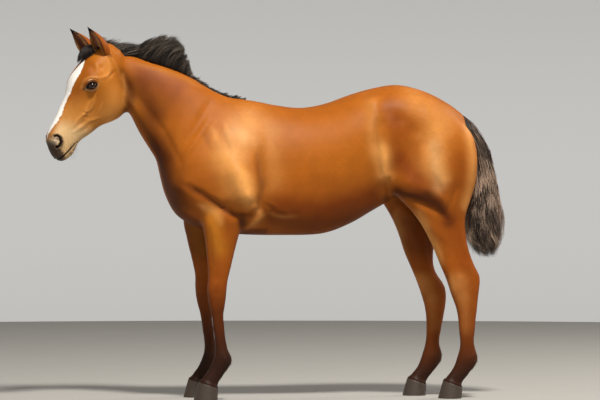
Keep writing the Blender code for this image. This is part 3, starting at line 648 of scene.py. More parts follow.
# trunk, head and four legs as closed tubes in one mesh, fused by a voxel remesh
def fusedFlesh():
    tubes = [ringsOf([(*row[:4], 0.0, *row[4:]) for row in smoothed(trunkRings, flesh["perGap"])])]
    rings = []
    for down, face, jaw, halfWidth, roundness, egg in smoothed(headRings, flesh["perGap"]):
        flat = ring((face, 0, jaw, 0, 0.0, halfWidth, roundness, egg), flesh["sides"])
        rings.append(headPlace(down, flat[:, 1], flat[:, 0]))
    tubes.append(np.array(rings))
    fore = ringsOf(smoothed(foreLegRings, flesh["perGap"]))
    mirrored = fore * (1, -1, 1)
    mirrored[..., 0] += np.interp(fore[..., 2], *np.array(foreCarry).T)
    tubes += [fore, mirrored]
    for table in (hindLegRings, rightHindRings):
        tubes.append(ringsOf(smoothed(table, flesh["perGap"])))
    points, quads, fans, first = [], [], [], 0
    for tube in tubes:
        corners, sides, ends = tubeOf(tube, first)
        points.append(corners)
        quads.append(sides)
        fans.append(ends)
        first += len(corners)
    mesh = meshOf("rough", np.vstack(points), [np.vstack(quads), np.vstack(fans)])
    rough = addObject("rough", mesh)
    fuse = rough.modifiers.new("fuse", "REMESH")
    fuse.mode = "VOXEL"
    fuse.voxel_size = flesh["grain"]
    graph = bpy.context.evaluated_depsgraph_get()
    fused = bpy.data.meshes.new_from_object(rough.evaluated_get(graph))
    bpy.data.objects.remove(rough, do_unlink=True)
    points = readPoints(fused)
    loose = np.clip((points[:, 2] - 0.62) / 0.25, 0, 1) * np.clip((points[:, 0] + 0.72) / 0.1, 0, 1)
    writePoints(fused, relaxed(points, edgesOf(fused), flesh["rounds"], 0.25 * (0.25 + 0.75 * loose)))
    return fused


# every edge whose two ends are chosen is halved, and the new corners settle a little
def divided(mesh, chosen, rounds):
    pairs = edgesOf(mesh)
    wanted = np.flatnonzero(chosen[pairs[:, 0]] & chosen[pairs[:, 1]])
    bm = bmesh.new()
    bm.from_mesh(mesh)
    bm.edges.ensure_lookup_table()
    bmesh.ops.subdivide_edges(bm, edges=[bm.edges[i] for i in wanted], cuts=1, use_grid_fill=True)
    bm.to_mesh(mesh)
    bm.free()
    before = np.zeros(len(mesh.vertices), bool)
    before[:len(chosen)] = ~chosen
    points = readPoints(mesh)
    writePoints(mesh, relaxed(points, edgesOf(mesh), rounds, np.where(before, 0.0, 0.4)))


# swellings and hollows: each path lifts the skin near it, most where the skin faces sideways
def formed(mesh, bodyTable, headTable):
    points, normals = readSkin(mesh)
    onHead = headShare(points)
    lift = np.zeros(len(points))
    flat = sidePlace(points)
    sideways = np.clip(1.6 * np.abs(normals[:, 1]), 0, 1)
    for path, spread, height in bodyTable:
        lift += height * nearPath(flat, path, spread) * sideways * (1 - onHead)
    place, facing = inHead(points), normals @ headAxes.T
    sideways = np.clip(1.6 * np.abs(facing[:, 1]), 0, 1)
    for path, spread, height in headTable:
        lift += height * nearPath(place[:, [0, 2]], path, spread) * sideways * onHead
    writePoints(mesh, points + normals * lift[:, None])


# finer forms of the sides than the solids carry, as paths of x, z, spread and height
fineBodyForms = (
    (((-0.66, 1.33), (-0.56, 1.18), (-0.5, 1.08)), 0.018, 0.006),  # muscle beside the throat
    (((-0.63, 1.35), (-0.5, 1.17), (-0.43, 1.03)), 0.014, -0.006),  # jugular groove
    (((-0.3, 1.22), (-0.42, 1.06)), 0.016, 0.005),  # shoulder blade
    (((-0.235, 1.25), (-0.33, 1.02)), 0.012, 0.003),
    (((-0.19, 0.985), (-0.162, 0.895)), 0.046, 0.022),  # swell of the triceps
    (((-0.15, 0.92), (-0.13, 0.85)), 0.02, 0.01),
    (((-0.4, 0.935), (-0.289, 0.862), (-0.203, 0.806), (-0.14, 0.796), (-0.095, 0.83)), 0.014, -0.015),
    (((-0.1, 1.09), (-0.086, 0.96), (-0.094, 0.82)), 0.017, -0.012),  # behind the triceps
    (((-0.058, 1.15), (-0.05, 0.9)), 0.018, 0.003),
    (((-0.7, 1.455), (-0.668, 1.387), (-0.642, 1.31)), 0.016, -0.01),  # behind the cheek
    (((-0.44, 0.95), (-0.345, 0.88)), 0.012, -0.005),  # crease of the breast
    (((-0.333, 0.815), (-0.28, 0.72)), 0.02, 0.004),  # forearm
    (((-0.303, 0.7), (-0.3, 0.59)), 0.009, -0.004),
    (((-0.11, 0.85), (-0.082, 0.8), (-0.14, 0.745)), 0.014, 0.008),  # fold of the elbow
    (((-0.165, 0.8), (-0.16, 0.74)), 0.011, -0.008),
    (((-0.062, 0.856), (-0.036, 0.83), (-0.05, 0.78)), 0.008, -0.005),
    (((-0.066, 0.882), (-0.02, 0.85)), 0.005, -0.003),  # wrinkles of the girth
    (((-0.05, 0.862), (-0.004, 0.836)), 0.005, 0.003),
    (((-0.021, 0.832), (0.08, 0.795)), 0.008, 0.0025),
    (((0.423, 1.29), (0.4, 1.17), (0.415, 1.08), (0.455, 0.975)), 0.026, 0.007),  # edge of the flank
    (((0.462, 1.04), (0.468, 0.985)), 0.024, 0.006),
    (((0.443, 0.905), (0.48, 0.885)), 0.018, 0.006),  # fold before the stifle
    (((0.47, 0.95), (0.5, 0.87)), 0.012, -0.006),
    (((0.49, 1.25), (0.6, 1.17)), 0.03, -0.005),
    (((0.66, 1.26), (0.7, 1.12)), 0.034, 0.006),  # croup
    (((0.61, 1.12), (0.65, 0.96)), 0.032, 0.006),  # thigh
    (((0.56, 1.16), (0.58, 1.02)), 0.03, -0.005),
    (((0.74, 1.06), (0.775, 0.92), (0.735, 0.81)), 0.012, -0.005),
    (((0.52, 0.88), (0.59, 0.87), (0.664, 0.835), (0.744, 0.786)), 0.015, -0.013),  # gaskin's crease
    (((0.56, 0.95), (0.64, 0.915), (0.72, 0.86)), 0.024, 0.008),
    (((0.6, 0.81), (0.64, 0.72)), 0.012, 0.004),
    (((0.65, 0.77), (0.74, 0.69)), 0.022, 0.004),
    (((0.79, 0.7), (0.832, 0.6)), 0.01, -0.005),  # before the hamstring
    (((0.8, 0.53),), 0.016, 0.004),  # hock
    (((0.82, 0.48),), 0.01, -0.003),
    (((-0.29, 0.505), (-0.245, 0.505)), 0.014, 0.003),  # knee
    (((-0.29, 0.462), (-0.25, 0.462)), 0.008, -0.002),
    (((-0.254, 0.4), (-0.25, 0.24)), 0.006, -0.003),  # tendons
    (((0.846, 0.4), (0.842, 0.25)), 0.006, -0.003),
    (((-0.24, 0.18),), 0.012, 0.003),  # fetlocks
    (((0.84, 0.178),), 0.012, 0.003),
)
fineHeadForms = (  # the first is the brow
    (((0.078, -0.024), (0.112, 0.014), (0.142, 0.02), (0.17, -0.004), (0.195, -0.043)), 0.009, 0.0042),
    (((0.106, 0.043), (0.13, 0.035), (0.153, 0.022)), 0.0055, -0.005),  # crease behind the brow
    (((0.12, -0.022), (0.14, -0.03)), 0.013, -0.004),  # temple
    (((0.118, -0.052), (0.15, -0.036)), 0.008, 0.002),
    (((0.068, 0.008), (0.12, 0.084), (0.146, 0.148), (0.192, 0.188)), 0.01, 0.0055),  # edge of the cheek
    (((0.248, 0.012), (0.285, 0.03), (0.313, 0.035)), 0.0085, 0.0048),  # facial crest
    (((0.334, 0.01), (0.331, 0.027)), 0.005, -0.003),  # wrinkles at its end
    (((0.344, 0.03), (0.342, 0.046)), 0.0044, -0.0022),
    (((0.306, 0.032), (0.343, 0.016), (0.38, 0.007), (0.412, 0.007)), 0.0085, 0.0032),  # muscle of the nose
    (((0.316, 0.09), (0.35, 0.058), (0.392, 0.04), (0.432, 0.02)), 0.009, 0.0034),  # muscle of the cheek
    (((0.362, 0.036), (0.396, 0.024)), 0.006, -0.0022),
    (((0.375, 0.07), (0.41, 0.054)), 0.006, -0.0016),
    (((0.25, 0.06), (0.3, 0.075)), 0.0036, 0.0016),  # vein
    (((0.452, 0.056), (0.455, 0.07)), 0.003, -0.002),  # corner of the mouth
    (((0.47, 0.072), (0.5, 0.07)), 0.004, -0.0018),
    (((0.51, 0.058),), 0.012, 0.003),  # chin
)
eye = {
    "radius": 0.0225, "lid": 0.0024, "gaze": (0.1, 1.0, -0.24), "front": (0.73, 0.0, -0.684),
    "half": 0.0208, "above": 0.015, "below": 0.0108, "margin": 0.002,
    "rows": 56, "columns": 96, "bulge": 0.035,
}
nostril = {
    "path": (
        (0.486, -0.045), (0.479, -0.036), (0.481, -0.021), (0.494, -0.008), (0.51, -0.004), (0.52, -0.009),
    ),
    "narrow": 0.0034, "wide": 0.0066, "deep": 0.016, "wing": (0.503, -0.031),
}
mouth = {"down": (0.455, 0.475, 0.5, 0.53, 0.56), "out": (0.061, 0.0545, 0.0475, 0.039, 0.029)}


# the eye's own directions on one side: outwards, towards the front corner, and upwards
def eyeFrame(sign):
    gaze = unit(np.array([eye["gaze"][0], sign * eye["gaze"][1], eye["gaze"][2]]) @ headAxes)
    front = np.array(eye["front"]) @ headAxes
    front = unit(front - gaze * (front @ gaze))
    upward = np.cross(gaze, front)
    return gaze, front, upward * np.sign(upward[2])


# the rim of the opening, as its distance from the middle at each angle
def eyeRim(angle):
    turn = np.linspace(-math.pi, math.pi, 241)
    height = np.where(np.sin(turn) > 0, eye["above"], eye["below"])
    across, up = eye["half"] * np.cos(turn), height * np.sign(np.sin(turn)) * np.abs(np.sin(turn)) ** 1.25
    return np.interp(angle, np.arctan2(up, across), np.hypot(across, up), period=2 * math.pi)


def eyeCentre(sign):
    return middleOf("left_eye" if sign < 0 else "right_eye")


# points round one eye: height along its gaze, place across and up, and distance outside the rim
def roundEye(points, sign):
    gaze, front, upward = eyeFrame(sign)
    away = points - eyeCentre(sign)
    height, across, up = away @ gaze, away @ front, away @ upward
    return height, across, up, np.hypot(across, up) - eyeRim(np.arctan2(up, across))


# places on the rim of an eye's opening at each angle, raised a little from the ball
def rimPlaces(sign, angle, raised):
    gaze, front, upward = eyeFrame(sign)
    reach = eyeRim(angle)
    across, up = (np.cos(angle) * reach)[:, None], (np.sin(angle) * reach)[:, None]
    height = (np.sqrt(eye["radius"] ** 2 - reach**2) + raised)[:, None]
    return eyeCentre(sign) + across * front + up * upward + height * gaze


# how far below the line of the lips a point lies
def mouthGap(place):
    return place[:, 2] - np.interp(place[:, 0], mouth["down"], mouth["out"])


# how far outside the nostril's edge a point of the muzzle lies
def nostrilEdge(place):
    away, share = alongPath(place[:, [0, 2]], nostril["path"])
    return away - (nostril["narrow"] + (nostril["wide"] - nostril["narrow"]) * share)


# creases and folds of the lids: distance outside the rim, spread and height
folds = {
    "upper": (
        (0.007, 0.0018, -0.0022), (0.0112, 0.003, 0.002), (0.0165, 0.0024, -0.0018), (0.0205, 0.003, 0.0012),
    ),
    "lower": ((0.006, 0.0016, -0.0014), (0.009, 0.002, 0.0008), (0.013, 0.0022, -0.0012)),
}


def lidFolds(outside, lid):
    return sum(height * bell(outside - at, spread) for at, spread, height in folds[lid])


# lids: a ball of skin round the eyeball, open along the rim and sunk behind the eyeball inside it
def shapeLids(mesh):
    points = readPoints(mesh)
    for sign in (-1, 1):
        height, across, up, outside = roundEye(points, sign)
        reach = np.hypot(across, up)
        near = (reach < 0.05) & (height > -0.012)
        ball = eye["radius"] + eye["lid"]
        lid = np.sqrt(np.maximum(ball**2 - reach**2, 0)) - 2 * np.maximum(reach - ball, 0)
        skin = (height + lid + np.sqrt((height - lid) ** 2 + 0.006**2)) / 2
        skin = height + (skin - height) * (1 - ramp(0.03, 0.048, reach))
        over = ramp(-0.1, 0.5, up / np.maximum(reach, 1e-6))
        under = ramp(-0.1, 0.5, -up / np.maximum(reach, 1e-6))
        skin += over * lidFolds(outside, "upper")
        skin += under * lidFolds(outside, "lower")
        corner = pathDistance(np.column_stack([across, up]), ((0.021, 0.0), (0.036, -0.004)))
        skin -= 0.003 * bell(corner, 0.003) * ramp(0.0, 0.003, outside)
        sunk = np.sqrt(np.maximum(eye["radius"] ** 2 - reach**2, 0)) - 0.0032
        opened = 1 - ramp(-0.001, 0.0004, outside)
        moved = skin + (sunk - skin) * opened
        points += np.where(near, moved - height, 0)[:, None] * eyeFrame(sign)[0]
    writePoints(mesh, points)


# nostrils sunk along a comma with a raised wing, and the lips parted by a groove
def shapeMuzzle(mesh):
    points, normals = readSkin(mesh)
    place, facing = inHead(points), normals @ headAxes.T
    onHead = headShare(points)
    edge = nostrilEdge(place)
    sideways = ramp(0.15, 0.5, np.abs(facing[:, 1])) * onHead
    lift = -nostril["deep"] * (1 - ramp(-0.003, 0.0012, edge)) * sideways
    lift += 0.0028 * bell(edge - 0.0045, 0.0035) * sideways
    wing = lengths(place[:, [0, 2]] - nostril["wing"])
    lift += 0.006 * bell(wing, 0.01) * sideways * ramp(0, 0.003, edge)
    gap = mouthGap(place)
    lips = ramp(0.45, 0.462, place[:, 0]) * onHead
    lift += lips * (-0.0048 * bell(gap, 0.0024) + 0.0018 * bell(gap + 0.0065, 0.0045)
                    + 0.0014 * bell(gap - 0.0065, 0.0045))
    front = ramp(0.528, 0.54, place[:, 0]) * (place[:, 2] < 0.03) * onHead
    lift -= front * 0.0015 * bell(place[:, 1], 0.004)
    writePoints(mesh, points + normals * lift[:, None])


# the skin widens to each hoof's edge just above it, and draws in where it runs down inside
def shapeCoronets(mesh):
    points = readPoints(mesh)
    for leg in legNames:
        low, high = cornersOf(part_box(f"{leg}_hoof"))
        halves = np.array(hoof["coronet"]) / 2
        centre = np.array([low[0] + hoof["forward"], (low[1] + high[1]) / 2])
        away = (points[:, :2] - centre) / halves
        slope = math.tan(hoof["slope"])
        above = points[:, 2] - (high[2] - halves[0] * slope) + away[:, 0] * halves[0] * slope
        egg = 1 + 0.1 * away[:, 0] / np.maximum(np.hypot(*away.T), 0.1)
        reach = np.hypot(away[:, 0], away[:, 1] / egg)
        near = (reach < 1.8) & (above < 0.022)
        wanted = 0.975 - 0.22 * ramp(0.0, -0.016, above)
        wanted = np.where(above < 0, np.minimum(wanted, reach), wanted)
        share = ramp(0.022, 0.002, above) * near
        scale = 1 + (wanted / np.maximum(reach, 0.2) - 1) * share
        points[:, :2] = centre + away * halves * np.where(near, scale, 1)[:, None]
    writePoints(mesh, points)


# where the mesh is made finer, each time closer round: eye, nostril, mouth and facial crest
finerRounds = ((0.046, 0.03, 0.018, 0.03), (0.03, 0.014, 0.006, 0.0))
pollDip = {"x": -0.696, "spread": 0.03, "depth": 0.013}
earRoots = {"down": 0.008, "behind": 0.014, "spread": 0.032, "swell": 0.012}


# a finer mesh on head and feet, then every swelling and hollow, the lids, the muzzle and the coronets
def shapeFlesh(mesh):
    points = readPoints(mesh)
    divided(mesh, headShare(points) > 0.2, 6)
    divided(mesh, readPoints(mesh)[:, 2] < 0.14, 3)
    for reachEye, reachNostril, reachMouth, reachCrest in finerRounds:
        points = readPoints(mesh)
        place = inHead(points)
        eyes = [lengths(points - eyeCentre(sign)) < reachEye for sign in (-1, 1)]
        lips = (np.abs(mouthGap(place)) < reachMouth) & (place[:, 0] > 0.448)
        crest = pathDistance(place[:, [0, 2]], ((0.34, 0.01), (0.4, 0.02))) < reachCrest
        chosen = eyes[0] | eyes[1] | (nostrilEdge(place) < reachNostril) | lips | crest
        divided(mesh, chosen & (headShare(points) > 0.9), 3)
    formed(mesh, bodyForms, headForms)
    formed(mesh, fineBodyForms, fineHeadForms)
    points, normals = readSkin(mesh)
    top = bell(points[:, 0] - pollDip["x"], pollDip["spread"]) * ramp(0.1, 0.8, normals[:, 2])
    points[:, 2] -= pollDip["depth"] * (top * ramp(1.46, 1.52, points[:, 2]))
    for side in earPlaces:
        root, axis, _, facing, _ = earFrame(side)
        base = root + earRoots["down"] * axis - earRoots["behind"] * facing
        swell = earRoots["swell"] * bell(lengths(points - base), earRoots["spread"])
        points += normals * swell[:, None]
    writePoints(mesh, points - normals * flesh["coatDepth"])
    shapeLids(mesh)
    shapeMuzzle(mesh)
    shapeCoronets(mesh)


# ears: cupped leaves, crescents carried from a root inside the head to the tip
ears = {
    "width": 0.069, "wall": 0.0034, "rows": 34, "arc": 19, "sunk": 0.22,
    "opening": {"left": (0.5, -0.35, -0.6), "right": (0.5, -0.42, -0.6)},
}


# half width of the leaf at share t of its length, drawn in towards the root like a bulb
def earWidth(t):
    leaf = (0.5 + 0.5 * np.cos(math.pi * np.clip((t - 0.32) / 0.72, 0, 1))) ** 0.7
    return ears["width"] / 2 * (leaf - 0.22 * ramp(0.32, 0.02, t)) * (1 - 0.5 * ramp(0.14, -0.16, t))


# an ear's root, its direction and length, the way it opens, and the way across
def earFrame(side):
    root, tip = (headPlace(*spot) for spot in earPlaces[side])
    axis = tip - root
    length = np.linalg.norm(axis)
    axis = axis / length
    facing = np.array(ears["opening"][side]) @ headAxes
    facing = unit(facing - axis * (facing @ axis))
    return root, axis, length, facing, np.cross(axis, facing)


# the place on the ear's wall at share t and angle, on its outer face or a wall's thickness inside
def earWall(side, t, angle, inside):
    root, axis, length, facing, across = earFrame(side)
    width = earWidth(t)
    wall = ears["wall"] * (1 - 0.5 * np.clip(t, 0, 1)) * inside
    out, back = np.sin(angle) * (width - wall), -np.cos(angle) * (width - wall) + 0.4 * width
    curl = 0.006 * np.sin(math.pi * np.clip(t, 0, 1))
    return (root + axis * (length * t)[..., None] + out[..., None] * across
            + (back - curl)[..., None] * facing)


# how far the wall reaches round from its back, wide at the root and narrow at the tip
def earReach(t):
    return np.radians(150 - 75 * t)


# the outer and inner wall as one closed sheet, row by row from the root inside the head to the tip
def earShell(side):
    t = np.linspace(-ears["sunk"], 0.985, ears["rows"])[:, None]
    arc = np.linspace(-1, 1, ears["arc"])[None, :]
    reach = earReach(np.clip(t, 0, 1))
    t, angle = np.broadcast_arrays(t, arc * reach)
    rings = np.concatenate([earWall(side, t, angle, 0.0), earWall(side, t, angle, 1.0)[:, ::-1]], axis=1)
    rows, columns, _ = rings.shape
    turn = np.arange(ears["arc"] - 1)
    strip = np.column_stack([turn, turn + 1, columns - turn - 2, columns - turn - 1])
    last = strip[:, ::-1] + (rows - 1) * columns
    arcs = np.concatenate([arc[0], arc[0, ::-1]])
    inside = np.concatenate([np.zeros(ears["arc"]), np.ones(ears["arc"])])
    return (rings.reshape(-1, 3), np.vstack([gridFaces(rows, columns), strip, last]),
            np.repeat(t[:, 0], columns), np.tile(arcs, rows), np.tile(inside, rows))


# back of the ear like the face, its tip and edges black, its cup rosy grey with painted shade deep in it
# towards the root
def earColour(points, t, arc, inside):
    back = coatColour(points)
    back = back + (tones["red"] - back) * 0.66
    cup = between(tones["cup"], tones["dark"], 0.55 * ramp(0.26, 0.03, t))
    colour = between(back, cup, inside)
    edge = ramp(0.86, 0.98, np.abs(arc)) * ramp(0.1, 0.35, t) * 0.9
    dark = np.maximum(edge, ramp(0.7, 0.88, t))
    return between(colour, tones["black"], dark)


# the wet dark rim of the lids, a thin ring carried round the opening
def lidRim(sign, steps=72, sides=8):
    spine = rimPlaces(sign, fullTurn(steps), 0.0011)
    along = unit(np.roll(spine, -1, 0) - np.roll(spine, 1, 0))
    outward = unit(np.cross(along, eyeFrame(sign)[0]))
    lifted = np.cross(outward, along)
    turn = fullTurn(sides)[:, None]
    around = np.cos(turn) * outward[:, None, :] + np.sin(turn) * lifted[:, None, :]
    points = spine[:, None, :] + eye["margin"] * around
    quads = gridFaces(steps + 1, sides) % (steps * sides)
    return points.reshape(-1, 3), quads


# pigment and painted light: the same colours for skin and coat, worked out from where a point is; pale, gold
# and mealy also paint highlights, and deep, red and dark paint shade
tones = {
    "bay": seen(164, 92, 28), "gold": seen(186, 117, 36), "red": seen(124, 57, 18),
    "deep": seen(74, 36, 15), "dark": seen(44, 31, 26), "black": seen(16, 13, 14),
    "mealy": seen(210, 176, 128), "white": seen(255, 250, 244), "nose": seen(54, 43, 40),
    "grey": seen(184, 168, 152), "cup": seen(152, 98, 80), "tan": seen(190, 132, 70),
    "pale": seen(222, 154, 84),
}
# lighter and darker places of the sides, most of them painted highlights where light falls on muscles and
# painted shade in folds and creases and under the belly, breast and neck: path of x, z, spread, tone and
# share
paintedLightAndShade = (
    (((0.405, 1.285), (0.402, 1.2), (0.42, 1.08)), 0.034, "pale", 0.34),  # flank
    (((0.44, 1.09), (0.458, 1.03), (0.462, 0.99)), 0.034, "pale", 0.9),
    (((0.5, 1.22), (0.52, 1.06)), 0.032, "red", 0.45),
    (((0.46, 0.885), (0.51, 0.85)), 0.016, "dark", 0.6),  # groin
    (((-0.23, 1.06), (-0.185, 0.93)), 0.06, "pale", 0.66),  # triceps
    (((-0.17, 0.97), (-0.138, 0.88)), 0.036, "pale", 0.95),
    (((-0.4, 0.93), (-0.289, 0.862), (-0.203, 0.806), (-0.12, 0.8)), 0.013, "deep", 0.9),
    (((-0.1, 1.08), (-0.084, 0.94), (-0.098, 0.81)), 0.015, "deep", 0.6),
    (((-0.04, 1.16), (-0.03, 0.94)), 0.045, "pale", 0.25),
    (((-0.13, 1.2), (-0.21, 1.09)), 0.08, "pale", 0.55),  # shoulder
    (((-0.11, 0.85), (-0.082, 0.8), (-0.14, 0.745)), 0.018, "pale", 0.55),  # elbow
    (((-0.168, 0.8), (-0.16, 0.745)), 0.018, "dark", 0.8),
    (((-0.03, 0.795), (0.1, 0.765), (0.3, 0.785), (0.42, 0.845)), 0.045, "deep", 0.62),  # belly
    (((0.0, 0.85), (0.2, 0.83), (0.4, 0.89)), 0.055, "red", 0.75),
    (((-0.56, 1.08), (-0.5, 0.97), (-0.45, 0.85)), 0.066, "deep", 0.85),  # breast
    (((-0.6, 1.22), (-0.5, 1.06)), 0.055, "deep", 0.8),  # neck
    (((-0.62, 1.38), (-0.54, 1.25)), 0.06, "deep", 0.75),
    (((-0.58, 1.42), (-0.44, 1.36)), 0.05, "red", 0.45),
    (((-0.56, 1.4), (-0.48, 1.33)), 0.06, "deep", 0.32),
    (((-0.3, 1.19), (-0.262, 1.11)), 0.015, "pale", 0.4),
    (((-0.332, 1.17), (-0.3, 1.085)), 0.013, "deep", 0.25),
    (((-0.17, 1.172), (-0.146, 1.125)), 0.022, "pale", 0.45),
    (((-0.6, 1.468), (-0.45, 1.432), (-0.33, 1.372)), 0.016, "tan", 0.5),
    (((-0.69, 1.45), (-0.655, 1.385), (-0.63, 1.31)), 0.02, "deep", 0.6),
    (((-0.345, 0.85), (-0.285, 0.815), (-0.262, 0.77)), 0.02, "pale", 0.7),  # forearm
    (((-0.295, 0.78), (-0.265, 0.66)), 0.034, "gold", 0.6),
    (((0.838, 1.19), (0.856, 1.0), (0.826, 0.84)), 0.024, "pale", 0.55),  # buttock
    (((0.79, 1.06), (0.79, 0.95)), 0.04, "red", 0.45),
    (((0.6, 1.31), (0.72, 1.22)), 0.06, "pale", 0.35),  # croup
    (((0.68, 1.17), (0.65, 1.0)), 0.06, "pale", 0.45),
    (((0.696, 1.04), (0.712, 0.965)), 0.03, "pale", 0.5),
    (((0.54, 1.04), (0.61, 0.94)), 0.05, "red", 0.75),  # thigh
    (((0.52, 0.905), (0.64, 0.882), (0.7, 0.842), (0.75, 0.78)), 0.026, "deep", 0.9),
    (((0.65, 0.9), (0.7, 0.87)), 0.024, "deep", 0.6),
    (((0.61, 0.82), (0.665, 0.7), (0.72, 0.59)), 0.021, "pale", 0.85),  # gaskin
    (((0.76, 0.8), (0.8, 0.68), (0.83, 0.58)), 0.035, "red", 0.4),
    (((0.762, 0.54), (0.776, 0.45)), 0.02, "pale", 0.6),  # hock
    (((0.8, 0.52), (0.806, 0.44)), 0.03, "pale", 0.45),
    (((0.82, 0.43), (0.826, 0.3)), 0.026, "pale", 0.35),
    (((0.49, 1.27), (0.55, 1.18)), 0.05, "red", 0.45),
    (((0.676, 1.11), (0.684, 1.01), (0.696, 0.93)), 0.028, "mealy", 0.26),
    (((-0.2, 1.165), (-0.155, 1.145)), 0.032, "mealy", 0.24),
    (((-0.262, 1.205), (-0.226, 1.12), (-0.214, 1.06)), 0.01, "deep", 0.2),  # lines of the shoulder
    (((-0.236, 1.215), (-0.204, 1.13)), 0.011, "pale", 0.28),
    (((-0.118, 1.15), (-0.102, 1.08)), 0.014, "pale", 0.25),
    (((-0.04, 0.835), (0.02, 0.815), (0.09, 0.822)), 0.009, "deep", 0.3),  # folds of the girth
    (((-0.05, 0.815), (0.01, 0.796), (0.07, 0.798)), 0.008, "pale", 0.22),
    (((0.428, 1.06), (0.446, 1.0), (0.462, 0.96)), 0.008, "deep", 0.3),  # folds of the flank
)
blaze = {  # down the face: near edge and far edge, to the left and right of its middle
    "down": (0.118, 0.132, 0.16, 0.195, 0.23, 0.274, 0.316, 0.365, 0.414, 0.463, 0.5),
    "left": (-0.014, -0.026, -0.044, -0.054, -0.049, -0.036, -0.024, -0.026, -0.026, -0.019, -0.004),
    "right": (-0.016, -0.01, 0.004, 0.02, 0.028, 0.03, 0.026, 0.024, 0.024, 0.016, 0.0),
}


# a soft mottle between -1 and 1: sines of three crossing directions
def mottle(points, size):
    x, y, z = (points * (2 * math.pi / size)).T
    first = np.sin(x + 1.7 * np.sin(z * 0.61))
    second = np.sin(y * 1.13 + 2.1 * np.sin(x * 0.47))
    return (first + second + np.sin(z * 0.93 + y * 0.7)) / 3


# how far inside the white of the face a point lies, in metres
def blazeDepth(place, points):
    left = np.interp(place[:, 0], blaze["down"], blaze["left"])
    right = np.interp(place[:, 0], blaze["down"], blaze["right"])
    ragged = 0.003 * mottle(points, 0.016) + 0.0018 * mottle(points, 0.007)
    inside = np.minimum(place[:, 1] - left, right - place[:, 1]) + ragged
    within = (place[:, 0] > 0.12) & (place[:, 0] < 0.502) & (place[:, 2] < 0.0)
    return np.where(within, inside, -1.0)
